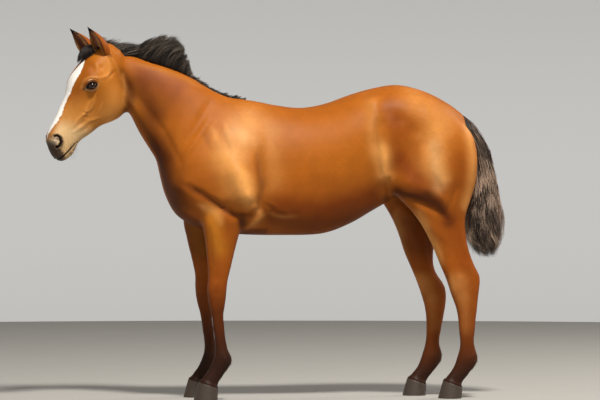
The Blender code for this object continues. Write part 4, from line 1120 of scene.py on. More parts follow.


# the bay ground colour, blended over in turn by the tones of sides, legs and head, among them painted
# highlights and painted shade
def coatColour(points):
    place, flat = inHead(points), sidePlace(points)
    profile = place[:, [0, 2]]
    onHead = ramp(-0.56, -0.76, points[:, 0] + 0.35 * (np.maximum(points[:, 2], 1.25) - 1.35))
    height = points[:, 2]
    colour = np.tile(tones["bay"], (len(points), 1))

    def blend(tone, share):
        nonlocal colour
        colour = between(colour, tones[tone], np.clip(share, 0, 1))

    def blendFace(tone, share, path, spread):
        blend(tone, share * onHead * bell(pathDistance(profile, path), spread))

    offHead = 1 - onHead
    blend("red", 0.18 + 0.22 * mottle(points, 0.55) * offHead)
    # painted shade: redder and darker towards the belly and below it
    blend("red", 0.35 * ramp(0.86, 0.72, height) * offHead)
    drift = 0.006 * np.column_stack([mottle(points, 0.13), mottle(points + 0.4, 0.11)])
    # painted highlights and painted shade of the sides, each blended in along its path
    for path, spread, tone, share in paintedLightAndShade:
        near = nearPath(flat + drift, path, spread)
        blend(tone, share * near * offHead * ramp(0.01, 0.05, np.abs(points[:, 1])))
    # painted shade on the inner sides of the legs, and on the groin and the girth between them
    inside = ramp(0.005, -0.02, np.abs(points[:, 1]) - 0.119)
    inside = inside * ramp(0.9, 0.76, height) * ramp(0.54, 0.68, height)
    blend("deep", 0.6 * inside * offHead * (np.abs(points[:, 0] - 0.2) > 0.25))
    low = ramp(0.64, 0.44, height)
    blend("red", 0.45 * low)
    fore = ramp(0.2, 0.0, points[:, 0])
    blend("deep", fore * ramp(0.56, 0.34, height) * 0.75 + (1 - fore) * ramp(0.4, 0.2, height) * 0.6)
    blend("dark", fore * ramp(0.42, 0.14, height) * 0.9 + (1 - fore) * ramp(0.3, 0.08, height) * 0.9)
    dapple = 0.05 * mottle(points, 0.085) + 0.035 * mottle(points + 0.3, 0.036)
    colour = colour * (1 + dapple * offHead)[:, None]
    # head: golden, with a mealy muzzle, a dark nose and dark skin round the eyes
    down, _, out = place.T
    blend("gold", 0.36 * onHead)
    blend("red", 0.14 * onHead * ramp(0.08, 0.17, out) * ramp(0.3, 0.2, down))
    blendFace("red", 0.5, ((0.14, -0.07), (0.22, -0.06), (0.3, -0.05)), 0.03)
    # painted shade: a little under the jowl, and more along the lower edge of the jaw behind the mouth
    blend("deep", 0.1 * onHead * ramp(0.15, 0.21, out + 0.05 * mottle(points, 0.3)))
    jaw = out - np.interp(down, (0.25, 0.35, 0.4, 0.46), (0.2, 0.098, 0.08, 0.07))
    blend("deep", 0.75 * onHead * ramp(0.0, 0.022, jaw) * ramp(0.3, 0.36, down) * ramp(0.475, 0.445, down))
    blend("tan", 0.7 * onHead * bell(down - 0.39, 0.085) * ramp(-0.075, -0.045, out))
    # painted highlights on the jowl, the cheek and the temple
    blendFace("pale", 0.42, ((0.19, 0.165), (0.29, 0.135)), 0.036)
    blendFace("pale", 0.34, ((0.19, 0.09), (0.27, 0.12)), 0.048)
    blendFace("pale", 0.3, ((0.085, -0.01), (0.14, 0.01)), 0.03)
    # painted shade in the hollow behind the jaw, on the head and on the neck beside it, and a painted
    # highlight along the jaw's edge
    behind = pathDistance(profile, ((0.125, 0.128), (0.176, 0.168), (0.22, 0.19)))
    blend("deep", 0.62 * bell(behind, 0.017))
    beside = pathDistance(flat, ((-0.678, 1.425), (-0.65, 1.378), (-0.634, 1.33)))
    blend("deep", 0.52 * bell(beside, 0.025))
    edge = pathDistance(profile, ((0.1, 0.086), (0.15, 0.126), (0.196, 0.148)))
    blend("pale", 0.2 * bell(edge, 0.009))
    # painted highlights along the head's narrow ridges and painted shade in its narrow creases
    for path, spread, lift in headForms + fineHeadForms:
        near = nearPath(profile, path, spread) * (spread < 0.012)
        blend("pale" if lift > 0 else "deep", (0.22 if lift > 0 else 0.12) * onHead * near)
    blend("mealy", 0.88 * onHead * ramp(0.365, 0.445, down + 0.25 * out) * ramp(-0.066, -0.04, out))
    muzzle = onHead * ramp(0.44, 0.47, down)
    blend("nose", muzzle * np.maximum(0.94 * ramp(0.506, 0.526, down - 0.45 * np.maximum(out, -0.01)),
                                      0.8 * bell(np.maximum(nostrilEdge(place), 0), 0.0065)))
    # a painted highlight in grey on the raised wing of each nostril
    blend("grey", 0.85 * muzzle * bell(lengths(profile - nostril["wing"]), 0.0135))
    lower = ramp(0.004, 0.01, mouthGap(place))
    blend("mealy", 0.65 * muzzle * lower * ramp(0.56, 0.535, down))
    blend("nose", 0.55 * muzzle * lower * ramp(0.35, 0.75, mottle(points, 0.021) + 0.5))
    blend("nose", 0.7 * muzzle * bell(mouthGap(place), 0.006))
    for sign in (-1, 1):
        height, across, up, outside = roundEye(points, sign)
        near = onHead * (height > -0.02)
        over = ramp(-0.004, 0.01, up)
        corner = pathDistance(np.column_stack([across, up]), ((0.022, 0.0), (0.036, -0.004)))
        blend("nose", near * 0.8 * bell(np.maximum(outside, 0), 0.012))
        blend("nose", near * 0.85 * bell(corner, 0.006))
        # a painted highlight along the fold of the upper lid, and a pale band under the lower lid
        upper = 0.72 * over * bell(outside - 0.0125, 0.0026) * ramp(-0.02, 0.004, -np.abs(across))
        blend("mealy", near * (upper + 0.45 * (1 - over) * bell(outside - 0.01, 0.0026)))
        blend("tan", 0.4 * near * bell(outside - 0.024, 0.006) * over)
        blend("black", near * ramp(0.0052, 0.0026, outside + 0.0016 * (1 - over)))
    blend("white", onHead * ramp(-0.001, 0.0025, blazeDepth(place, points)))
    return colour


# what only bare skin shows: the depths of the nostrils and the line of the lips
def bareSkin(points):
    place = inHead(points)
    onHead = headShare(points)
    sideways = ramp(0.02, 0.03, np.abs(place[:, 1]))
    inside = ramp(0.001, -0.003, nostrilEdge(place)) * sideways
    line = bell(mouthGap(place), 0.003) * ramp(0.452, 0.464, place[:, 0])
    return np.clip(np.maximum(inside, 0.9 * line) * onHead, 0, 1)


# where bare skin lies round the mouth, the nostrils and the lids
def hairless(points):
    place = inHead(points)
    bare = ramp(0.512, 0.528, place[:, 0] + 0.2 * np.minimum(place[:, 2], 0))
    bare = np.maximum(bare, ramp(0.006, 0.002, np.abs(mouthGap(place))) * (place[:, 0] > 0.45))
    bare = np.maximum(bare, ramp(0.006, 0.002, nostrilEdge(place)))
    for sign in (-1, 1):
        height, _, _, outside = roundEye(points, sign)
        bare = np.maximum(bare, ramp(0.006, 0.003, outside) * (height > -0.02))
    return bare * headShare(points)


lie = {
    "back": np.array([0.95, 0.0, -0.3]), "neck": np.array([0.55, 0.0, -0.8]),
    "leg": np.array([0.12, 0.0, -1.0]), "whorl": np.array([0.5, 0.0, 1.5]),
    "face": 0.95 * headAxes[0] + 0.25 * headAxes[2],
}


# the way the hair lies: along the back, down the neck, thighs and legs, and down the face
def hairLie(points, normals):
    onHead = headShare(points)[:, None]
    flat = sidePlace(points)
    neck = ramp(-0.2, -0.45, points[:, 0])[:, None]
    low = ramp(0.86, 0.66, flat[:, 1])[:, None]
    rump = (ramp(0.45, 0.7, points[:, 0]) * ramp(1.32, 1.1, points[:, 2]))[:, None]
    legs = np.maximum(low * (np.abs(points[:, :1] - 0.2) > 0.33), rump * 0.8)
    flow = lie["back"] * (1 - neck) + lie["neck"] * neck
    flow = flow * (1 - legs) + lie["leg"] * legs
    whorl = bell(lengths(flat - (0.455, 0.985)), 0.09)[:, None] * (1 - onHead)
    flow = flow + whorl * lie["whorl"]
    flow = flow * (1 - onHead) + lie["face"] * onHead
    flow = flow - normals * np.sum(flow * normals, axis=1, keepdims=True)
    return unit(flow)


# short hair: its painted pigment with its painted highlights and painted shade, clouded and streaked along
# the lie, and glossier where it is wet
def coatFinish(name, bump):
    finish = Finish(name)
    pigmentAndPaintedLight = finish.attribute("pigmentAndPaintedLight")
    combed = finish.attribute("combed", 1)
    streak = finish.noise(finish.stretched(combed, (60.0, 560.0, 560.0)), 1.0, 4.0)
    cloud = finish.noise(finish.here(), 5.0, 4.0)
    shade = finish.spanned(cloud, 0.3, 0.7, 0.9, 1.08)
    fine = finish.spanned(streak, 0.3, 0.7, 0.88, 1.12)
    both = finish.node("ShaderNodeCombineColor", {}, {0: shade * fine, 1: shade * fine, 2: shade * fine})
    wet = finish.attribute("wet", 2)
    finish.put(Base_Color=finish.mixed(1.0, pigmentAndPaintedLight, both, "MULTIPLY"))
    finish.put(Roughness=(0.47 + 0.12 * (streak - 0.5)) * (1 - 0.72 * wet))
    finish.put(Specular_IOR_Level=0.11)
    if bump:
        finish.put(Normal=finish.bump(streak, 0.3))
    return finish.material


# places along the hair, so that streaks follow it: x runs with the lie, y and z across
def combedPlace(points):
    onHead = headShare(points)[:, None]
    low = (ramp(0.86, 0.66, points[:, 2]) * (np.abs(points[:, 0] - 0.2) > 0.33))[:, None]
    neck = ramp(-0.2, -0.45, points[:, 0])[:, None] * (1 - low)

    def turned(direction):
        along = unit(direction)
        across = unit(np.cross((0.0, 1.0, 0.0), along))
        return np.column_stack([points @ along, points @ across, points @ np.cross(along, across)])

    body = turned(lie["back"]) * (1 - neck) + turned(lie["neck"]) * neck
    body = body * (1 - low) + turned(lie["leg"]) * low
    return body * (1 - onHead) + turned(lie["face"]) * onHead


# other meshes added to one, and all its faces turned outwards
def joinedOutwards(mesh, added):
    bm = bmesh.new()
    for part in (mesh, *added):
        bm.from_mesh(part)
    bmesh.ops.recalc_face_normals(bm, faces=bm.faces)
    bm.to_mesh(mesh)
    bm.free()


# the skin: flesh, lids and ears in one mesh
def buildSkin(finish):
    mesh = fusedFlesh()
    say(f"flesh fused, {len(mesh.vertices)} points")
    shapeFlesh(mesh)
    fleshPoints = readPoints(mesh)
    count = len(fleshPoints)
    colours = coatColour(fleshPoints)
    bare = bareSkin(fleshPoints)
    # the depths of the nostrils near black, their dark skin with painted shade, and the line of the lips
    # dark
    colours = between(colours, tones["black"] * 0.6, bare)
    parts = [(fleshPoints, colours, np.maximum(bare, 0.3 * hairless(fleshPoints)))]
    added = []
    for sign in (-1, 1):
        points, quads = lidRim(sign)
        added.append(meshOf("lid", points, [quads]))
        parts.append((points, np.tile(tones["black"], (len(points), 1)), np.full(len(points), 0.75)))
    for side in earPlaces:
        points, quads, t, arc, inside = earShell(side)
        added.append(meshOf("ear", points, [quads]))
        parts.append((points, earColour(points, t, arc, inside), np.zeros(len(points))))
    joinedOutwards(mesh, added)
    mesh.name = "coat_skin"
    mesh.shade_smooth()
    storeColours(mesh, "pigmentAndPaintedLight", np.vstack([part[1] for part in parts]))
    storeValues(mesh, "wet", np.concatenate([part[2] for part in parts]))
    storeVectors(mesh, "combed", combedPlace(np.vstack([part[0] for part in parts])))
    nodes = ["head", "neck", "trunk", "left_ear", "right_ear"]
    for side in ("left", "right"):
        nodes += [f"{side}_{part}" for part in ("forearm", "fore_cannon", "gaskin", "hind_cannon")]
    skin = addPiece("coat_skin", mesh, finish, nodes)
    mesh.calc_loop_triangles()
    say(f"skin done, {len(mesh.loop_triangles)} triangles")
    return skin, count


# eyes: balls with a fuller cornea, coloured by where each point looks
def eyeBall(sign):
    gaze, front, upward = eyeFrame(sign)
    tilt = np.linspace(0.02, math.pi - 0.02, eye["rows"])[:, None]
    turn = fullTurn(eye["columns"])[None, :]
    reach = (eye["radius"] * (1 + eye["bulge"] * bell(tilt, 0.5)))[..., None]
    local = (np.sin(tilt) * np.cos(turn), np.sin(tilt) * np.sin(turn), np.cos(tilt))
    local = np.stack(np.broadcast_arrays(*local), -1)
    rings = eyeCentre(sign) + reach * (local @ np.array([front, upward, gaze]))
    points, quads, fans = tubeOf(rings)
    look = np.vstack([local.reshape(-1, 3), [[0, 0, 1], [0, 0, -1]]])
    return points, quads, fans, look


# a wet ball with a brown iris and a wide pupil, from how far each point looks aside
def eyeFinish():
    finish = Finish("eye_wet")
    look = finish.attribute("look", 1)
    across, up = (finish.node("ShaderNodeSeparateXYZ", {}, {0: look}, axis) for axis in (0, 1))

    def within(reach, edge, soft):
        return finish.spanned(reach, edge + soft, edge - soft, 0.0, 1.0, "SMOOTHSTEP")

    reach = across * across + up * up
    iris = within(reach, 0.44, 0.05)
    pupil = within(across * across / 0.16 + up * up / 0.045, 1.0, 0.12)
    streak = finish.noise(look, 22.0, 3.0)
    brown = finish.mixed(streak, tuple(seen(24, 14, 10)), tuple(seen(62, 36, 20)))
    ball = finish.mixed(iris, tuple(seen(44, 34, 30)), brown)
    finish.put(Base_Color=finish.mixed(pupil, ball, tuple(seen(12, 13, 20))))
    finish.put(Roughness=0.06, Specular_IOR_Level=0.3, Coat_Weight=0.25, Coat_Roughness=0.03)
    return finish.material


def buildEyes():
    finish = eyeFinish()
    for side, sign in (("left", -1), ("right", 1)):
        points, quads, fans, look = eyeBall(sign)
        mesh = meshOf(f"{side}_eye_ball", points, [quads, fans])
        storeVectors(mesh, "look", look)
        addPiece(f"{side}_eye_ball", mesh, finish, [f"{side}_eye"])
    say("eyes")


# hooves: an oval coronet, flaring ringed walls and a flat sole
hoof = {
    "slope": math.radians(20), "coronet": (0.086, 0.078), "sole": 0.098, "rows": 40, "sides": 64,
    "forward": 0.065, "heel": 0.002, "ripple": 0.00012 / 0.045, "rings": 42,
}
legNames = ("left_fore", "right_fore", "left_hind", "right_hind")


# ovals from the sloping coronet down to the flat sole, widening evenly, with fine rings of growth
def hoofShell(node):
    low, high = cornersOf(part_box(node))
    topLength, topWidth = hoof["coronet"]
    x, y = low[0] + hoof["forward"], (low[1] + high[1]) / 2
    z = high[2] - topLength / 2 * math.tan(hoof["slope"])
    toe, heel = low[0], high[0] - hoof["heel"]
    drop = np.concatenate([[-0.03], np.linspace(0, 0.95, hoof["rows"]), [0.985, 1.0]])[:, None]
    turn = fullTurn(hoof["sides"])[None, :]
    bevel = 1 - 0.02 * ramp(0.95, 1.0, drop) - 0.035 * ramp(0.02, -0.03, drop)
    growth = np.sin(drop * hoof["rings"] + 1.5 * np.sin(drop * 9))
    bevel = bevel + hoof["ripple"] * growth * ramp(0.02, 0.1, drop) * ramp(0.98, 0.9, drop)
    fall = np.clip(drop, 0, 1)
    length = topLength + (heel - toe - topLength) * fall
    width = topWidth + (hoof["sole"] - topWidth) * fall
    middle = x + ((toe + heel) / 2 - x) * fall
    along = -np.cos(turn) * length / 2 * bevel
    across = np.sin(turn) * (1 - 0.1 * np.cos(turn)) * width / 2 * bevel
    height = (z - along * math.tan(hoof["slope"])) * (1 - fall) + 0.002 * (drop < 0)
    rings = np.stack(np.broadcast_arrays(middle + along, y + across, height), -1)
    points, quads, fans = tubeOf(rings)
    share = np.concatenate([np.repeat(drop[:, 0], hoof["sides"]), [0.0, 1.0]])
    return points, quads, fans, share


def hoofFinish():
    finish = Finish("hoof_horn")
    height = finish.attribute("growth", 2)
    line = finish.noise(finish.stretched(finish.here(), (420.0, 420.0, 26.0)), 1.0, 3.0)
    bands = finish.node("ShaderNodeMath", {"operation": "SINE"}, {0: height * 70.0 + line * 2.0})
    tone = finish.mixed(line, tuple(seen(44, 36, 32)), tuple(seen(92, 78, 66)))
    tone = finish.mixed(0.5 + 0.35 * bands, tone, tuple(seen(60, 50, 44)))
    finish.put(Base_Color=tone, Roughness=0.42 + 0.2 * line)
    finish.put(Normal=finish.bump(line, 0.3))
    return finish.material


def buildHooves():
    finish = hoofFinish()
    for leg in legNames:
        points, quads, fans, share = hoofShell(f"{leg}_hoof")
        mesh = meshOf(f"{leg}_horn", points, [quads, fans])
        joinedOutwards(mesh, [])
        storeValues(mesh, "growth", share)
        addPiece(f"{leg}_horn", mesh, finish, [f"{leg}_hoof"])
    say("hooves")


# hair: each lock is a three-sided spike along its own path
# paths is locks x steps x 3, width one value for each lock, facing the way its flat side looks
bakeMap = {"patch": 0.003, "scale": 0.99, "margin": 0.005}


def lockMesh(name, paths, width, facing, colours, spots, taper=2.2, flatness=0.45):
    count, steps, _ = paths.shape
    along = unit(np.gradient(paths, axis=1))
    side = unit(np.cross(along, facing[:, None, :]))
    up = np.cross(side, along)
    t = np.linspace(0, 1, steps)
    thick = (width[:, None] * (1 - t**taper) * (0.75 + 0.25 * np.minimum(t * 5, 1)))[..., None]
    corners = np.radians((210, 330, 90))
    rings = (paths[:, :-1, None, :]
             + thick[:, :-1, None] / 2 * (np.cos(corners)[:, None] * side[:, :-1, None, :]
                                          + flatness * np.sin(corners)[:, None] * up[:, :-1, None, :]))
    points = np.concatenate([rings.reshape(count, -1, 3), paths[:, -1:, :]], axis=1)
    each = points.shape[1]
    row, corner = np.meshgrid(np.arange(steps - 2), np.arange(3), indexing="ij")
    after = (corner + 1) % 3
    quad = np.stack([3 * row + corner, 3 * row + 3 + corner, 3 * row + 3 + after, 3 * row + after], -1)
    quad = quad.reshape(-1, 4)
    last = 3 * (steps - 2)
    tip = np.array([(last + c, each - 1, last + (c + 1) % 3) for c in range(3)] + [(0, 1, 2)])
    first = (np.arange(count) * each)[:, None, None]
    faces = [(first + quad).reshape(-1, 4), (first + tip).reshape(-1, 3)]
    mesh = meshOf(name, points.reshape(-1, 3), faces)
    storeColours(mesh, "pigmentAndPaintedLight", colours.reshape(-1, 3))
    # the patch of each lock on the bake map: steps one way, corners the other
    stepAt = np.concatenate([np.repeat(np.arange(steps - 1), 3), [steps - 1]]) / (steps - 1)
    cornerAt = np.concatenate([np.tile([0.0, 0.5, 1.0], steps - 1), [0.5]])
    patch = bakeMap["patch"] * np.column_stack([stepAt - 0.5, cornerAt - 0.5])
    flatMap = (spots[:, None, :] * bakeMap["scale"] + bakeMap["margin"] + patch[None]).reshape(-1, 2)
    index = np.empty(len(mesh.loops), np.int32)
    mesh.loops.foreach_get("vertex_index", index)
    layer = mesh.uv_layers.new(name="OFBake")
    layer.data.foreach_set("uv", flatMap[index].astype(np.float32).ravel())
    return mesh


# colours of every corner of the locks: share is how far each step has gone from root to tip colour
def lockColours(share, root, tip, vary):
    share = np.broadcast_to(share, (len(root), share.shape[-1]))
    t = np.concatenate([np.repeat(share[:, :-1], 3, axis=1), share[:, -1:]], axis=1)[..., None]
    return (root[:, None, :] * (1 - t) + tip[:, None, :] * t) * vary[:, None, None]


# where a root lies on an unwrap of the skin: length along the body or limb, and the angle round it
def skinSpot(points):
    flat, onHead = sidePlace(points), headShare(points) > 0.5
    x, z = flat.T
    rows = np.array(trunkRings)
    axis = np.interp(x, rows[:, 0], (rows[:, 1] + rows[:, 3]) / 2)
    bodyAngle = np.arctan2(points[:, 1], z - axis) / (2 * math.pi) + 0.5
    spot = np.column_stack([(x + 0.75) / 1.65, 0.5 * bodyAngle])
    down, side, out = inHead(points).T
    headAngle = np.arctan2(side, out) / (2 * math.pi) + 0.5
    headSpot = np.column_stack([0.4 * (down + 0.02) / 0.6, 0.5 + 0.5 * headAngle])
    spot = np.where(onHead[:, None], headSpot, spot)
    leg = (~onHead) & (z < 0.8) & ((x < -0.05) | (x > 0.45))
    right, hind = points[:, 1] > 0, x > 0.2
    heights = (0, 0.5, 0.8)
    hindMiddle = np.interp(z, heights, (0.77, 0.82, 0.71))
    front = np.where(hind, hindMiddle, np.interp(z, heights, (-0.31, -0.26, -0.24)))
    turned = np.arctan2(np.abs(points[:, 1]) - 0.119, x - front) / (2 * math.pi) + 0.5
    legSpot = np.column_stack([0.41 + 0.59 * z / 0.8, 0.5 + 0.125 * (turned + right + 2 * hind)])
    return np.clip(np.where(leg[:, None], legSpot, spot), 0, 1)


# from 0.6 to 1.3 of a width, for each of many locks
def widths(width, count):
    return width * (0.6 + 0.7 * rng.random(count))


def hairFinish(name, rough, gloss=0.5):
    finish = Finish(name)
    finish.put(Base_Color=finish.attribute("pigmentAndPaintedLight"), Roughness=rough, Specular_IOR_Level=gloss)
    return finish.material


# mane: locks rooted along the crest, leaning back, clumped, their tips flicked up
mane = {"locks": 5700, "steps": 7, "clumps": 150, "width": 0.003, "lean": (0.06, 0.2)}


# a table's columns read at shares of its length, between its rows
def rowsAt(rows, s):
    at = np.clip(s, 0, 1) * (len(rows) - 1)
    return np.stack([np.interp(at, np.arange(len(rows)), column) for column in rows.T], -1)


# each lock climbs from the crest towards its ring's top while it drifts back, to its clump's middle
def manePaths():
    rows = smoothed(maneRings, 12)
    crest = np.array([(-0.83, 1.562), (-0.77, 1.56)] + [row[:2] for row in trunkRings])
    steps, count = mane["steps"], mane["locks"]
    t = np.linspace(0, 1, steps)[None, :]
    above = rows[:, 1] - np.interp(rows[:, 0], crest[:, 0], crest[:, 1])
    weight = np.cumsum(np.maximum(above, 0.012) ** 0.5)
    start = np.interp(rng.random(count), weight / weight[-1], np.linspace(0, 1, len(rows)))
    clump = (start * mane["clumps"]).astype(int)
    shared = rng.random((mane["clumps"] + 1, 4))[clump]
    least, most = mane["lean"]
    lean = least + (most - least) * (0.6 * shared[:, 0] + 0.4 * rng.random(count))
    centre = (clump + 0.5) / mane["clumps"]
    tall = ramp(0.62, 0.45, start)[:, None]
    gather = 0.7 * ramp(0.15, 0.9, t) * tall
    s = start[:, None] + (centre - start)[:, None] * gather + (0.03 + (lean[:, None] - 0.03) * tall) * t**1.5
    line = rowsAt(rows, s)
    top, bottom = line[..., 0:2], line[..., 2:4]
    bed = np.interp(bottom[..., 0], crest[:, 0], crest[:, 1]) - 0.013
    rootShare = (bed - bottom[..., 1]) / np.maximum(top[..., 1] - bottom[..., 1], 0.01)
    rootShare = np.clip(rootShare, 0, 0.8)
    full = 0.4 + 0.62 * np.sqrt(0.35 * rng.random(count) + 0.65 * shared[:, 1])
    share = rootShare + (full[:, None] - rootShare) * np.sin(t * math.pi / 2) ** 0.9
    flat = bottom + (top - bottom) * share[..., None]
    spread = rng.uniform(-1, 1, count)
    wide = 0.016 + 0.1 * ramp(0.3, 0.15, start) * ramp(0.03, 0.1, start)
    apart = 0.35 * (spread * wide)[:, None] * (1 - t)
    aside = (0.55 * spread + 0.9 * (shared[:, 2] - 0.5))[:, None] * line[..., 5]
    across = apart + (line[..., 4] + aside) * t**0.9
    raised = rng.normal(0, 0.0042, count)[:, None] + 0.02 * (shared[:, 3:4] - 0.4) * tall
    flick = ramp(0.5, 1.0, t) * raised
    curl = 0.007 * np.sin(t * 7 + 6.3 * shared[:, 3:4]) * t * (0.2 + 0.8 * tall)
    across = across + np.minimum(flat[..., 0] - poll[0], 0) * math.tan(headLay["turn"])
    height = flat[..., 1] + flick + 0.4 * curl - 13 * apart**2
    paths = np.stack([flat[..., 0] + curl + 0.6 * np.abs(flick), across + 0.6 * curl, height], -1)
    return paths, start, spread, shared, full


def buildMane(finish):
    paths, start, spread, shared, full = manePaths()
    count = len(paths)
    sunlit = 0.5 * (shared[:, 0] - 0.35) * ramp(0.25, 0.45, start) * ramp(0.55, 0.95, full)
    bright = np.clip(0.55 * rng.random(count) ** 2 + sunlit, 0, 1)
    root = between(seen(17, 14, 14), seen(46, 39, 34), bright)
    tip = between(seen(22, 18, 17), seen(158, 142, 126), bright)
    vary = 0.8 + 0.4 * rng.random(count)
    facing = np.tile((0.0, -1.0, 0.25), (count, 1)) + rng.normal(0, 0.35, (count, 3))
    spots = np.column_stack([start, 0.5 + 0.5 * spread])
    width = widths(mane["width"], count)
    colours = lockColours(np.linspace(0, 1, mane["steps"]), root, tip, vary)
    mesh = lockMesh("mane_locks", paths, width, facing, colours, spots)
    addPiece("mane_locks", mesh, finish, ["mane"])
    say(f"mane, {count} locks")


# tail: locks rooted on the dock, falling inside its rings in wavy wisps of many lengths
tail = {"locks": 4700, "steps": 8, "wisps": 260, "width": 0.0026, "dock": 0.36, "wave": 0.0105}


# each lock runs down inside the tail's rings and waves with its wisp, which draws together to its tip
def tailPaths(layer):
    rows = smoothed(tailRings, 12)
    steps, count = tail["steps"], tail["locks"]
    t = np.linspace(0, 1, steps)[None, :]
    wisp = rng.integers(0, tail["wisps"], count)
    shared = rng.random((tail["wisps"], 7))[wisp]
    start = tail["dock"] * (0.25 * rng.random(count) + 0.75 * shared[:, 0])
    end = 0.5 + 0.5 * (0.12 * rng.random(count) + 0.88 * shared[:, 1]) ** 0.75
    s = start[:, None] + (end - start)[:, None] * t
    line = rowsAt(rows, s)
    left, right = line[..., 0:2], line[..., 2:4]
    reach = 0.98 if layer == 0 else 0.72
    angle = 2 * math.pi * shared[:, 2] + rng.normal(0, 0.4, count)
    radius = np.sqrt(np.clip(shared[:, 3] + rng.normal(0, 0.12, count), 0.01, 1)) * reach
    # the hairs of a wisp run together towards its tip, which swings out from the middle
    gather = 0.86 * ramp(0.35, 1.0, t)
    middle = np.sqrt(shared[:, 3]) * reach
    swing = 1 + (0.05 + 0.3 * shared[:, 6:7] ** 3) * ramp(0.55, 1.0, t)
    spread = (0.45 + 0.55 * ramp(0.0, 0.5, t)) * swing
    rearward, sideward = radius * np.cos(angle), radius * np.sin(angle)
    wispAngle = 2 * math.pi * shared[:, 2]
    along = (rearward[:, None] + (middle * np.cos(wispAngle) - rearward)[:, None] * gather) * spread
    aside = (sideward[:, None] + (middle * np.sin(wispAngle) - sideward)[:, None] * gather) * spread
    flat = (left + right) / 2 + (right - left) / 2 * along[..., None]
    across = line[..., 4] * aside
    turn = t * (11 + 9 * shared[:, 4:5]) + 6.3 * shared[:, 5:6] + rng.normal(0, 0.3, count)[:, None]
    wave = tail["wave"] * (0.5 + shared[:, 6:7]) * ramp(0.2, 0.7, t)
    loose = rng.normal(0, 0.0034, (2, count))[:, :, None] * ramp(0.5, 1.0, t)
    x = flat[..., 0] + wave * np.sin(turn) + loose[0]
    y = across + 0.8 * wave * np.cos(0.8 * turn) + loose[1]
    return np.stack([x, y, flat[..., 1]], -1), start, angle, shared, rearward, 0.5 + 0.5 * np.cos(turn + 0.6)


def buildTail(finish):
    t = np.linspace(0, 1, tail["steps"])[None, :]
    for layer in (0, 1):
        paths, start, angle, shared, rearward, crest = tailPaths(layer)
        count = len(paths)
        bright = np.clip(2.2 * (shared[:, 5] - 0.36) + rng.normal(0, 0.3, count), 0.02, 1)
        rear = ramp(0.45, 0.9, rearward) * rng.random(count)
        root = between(seen(30, 24, 22), seen(84, 50, 34), rear)
        tip = between(seen(226, 196, 172), seen(140, 92, 66), 0.5 * rear)
        # painted highlights on the waves' crests, most in the lower half, and the very tips are dark again
        share = bright[:, None] * (0.25 + 0.75 * crest) * ramp(0.02, 0.52, t)
        share = share * (1 - 0.45 * ramp(0.82, 1.0, t))
        share = np.maximum(share, 0.06 * rng.random(count)[:, None])
        vary = 0.7 + 0.6 * rng.random(count)
        facing = np.column_stack([np.cos(angle) * 0.5, np.sin(angle) - 0.4, np.full(count, 0.1)])
        spots = np.column_stack([start / tail["dock"], (angle / (2 * math.pi)) % 1.0])
        width = widths(tail["width"], count)
        name = f"tail_locks_{layer + 1}"
        mesh = lockMesh(name, paths, width, facing, lockColours(share, root, tip, vary), spots)
        addPiece(name, mesh, finish, ["tail"])
    say(f"tail, {2 * tail['locks']} locks")


# forelock: locks from between the ears, falling over the brow
forelock = {"locks": 1900, "steps": 7, "clumps": 70, "width": 0.0024, "spread": 0.03}


# each lock follows the forelock's line down the brow, fanned out to both sides
def buildForelock(finish):
    rows = smoothed(forelockRings, 10)
    steps, count = forelock["steps"], forelock["locks"]
    t = np.linspace(0, 1, steps)[None, :]
    clump = rng.integers(0, forelock["clumps"], count)
    shared = rng.random((forelock["clumps"], 4))[clump]
    start = 0.45 * (0.3 * rng.random(count) + 0.7 * shared[:, 0])
    ragged = 0.2 * np.abs(2 * shared[:, 3] - 1) ** 1.5
    end = 0.42 + 0.44 * (0.3 * rng.random(count) + 0.7 * shared[:, 1]) - ragged
    line = rowsAt(rows, start[:, None] + (end - start)[:, None] * t)
    share = (0.1 + 0.62 * (0.3 * rng.random(count) + 0.7 * shared[:, 2]))[:, None]
    share = share * ramp(-0.1, 0.5, t) * ramp(1.5, 0.7, t)
    out = line[..., 2] + (line[..., 1] - line[..., 2]) * share
    spread = np.clip(2 * shared[:, 3] - 1 + rng.normal(0, 0.2, count), -1, 1)
    curl = 0.0035 * np.sin(t * 6 + 6.3 * shared[:, 2:3]) * t
    across = line[..., 3] + forelock["spread"] * spread[:, None] * (0.55 + 0.7 * t)
    across = across + 0.014 * (shared[:, 1:2] - 0.5) * t**2 + curl + rng.normal(0, 0.003, count)[:, None] * t
    out = out + 9.0 * np.abs(across - line[..., 3]) ** 2 * t - curl
    paths = headPlace(line[..., 0], across, out)
    bright = np.clip(0.45 * rng.random(count) ** 2 + 0.35 * (shared[:, 2] - 0.5), 0, 1)
    root = np.tile(seen(28, 24, 25), (count, 1))
    tip = between(seen(36, 31, 32), seen(120, 108, 104), bright)
    facing = np.tile(-headAxes[2], (count, 1)) + rng.normal(0, 0.3, (count, 3))
    spots = np.column_stack([start / 0.5, 0.5 + 0.5 * spread])
    width = widths(forelock["width"], count)
    colours = lockColours(t, root, tip, 0.8 + 0.4 * rng.random(count))
    mesh = lockMesh("forelock_locks", paths, width, facing, colours, spots)
    addPiece("forelock_locks", mesh, finish, ["forelock"])
    say(f"forelock, {count} locks")


# coat: short flat tufts all over the skin, longest below and smallest on the face and feet
coat = {
    "pieces": 4, "tufts": 46000, "steps": 2, "body": 0.009, "face": 0.0056, "legs": 0.0078, "long": 0.0135,
    "width": 0.0018, "sharpest": 45, "bedded": 0.011,
}
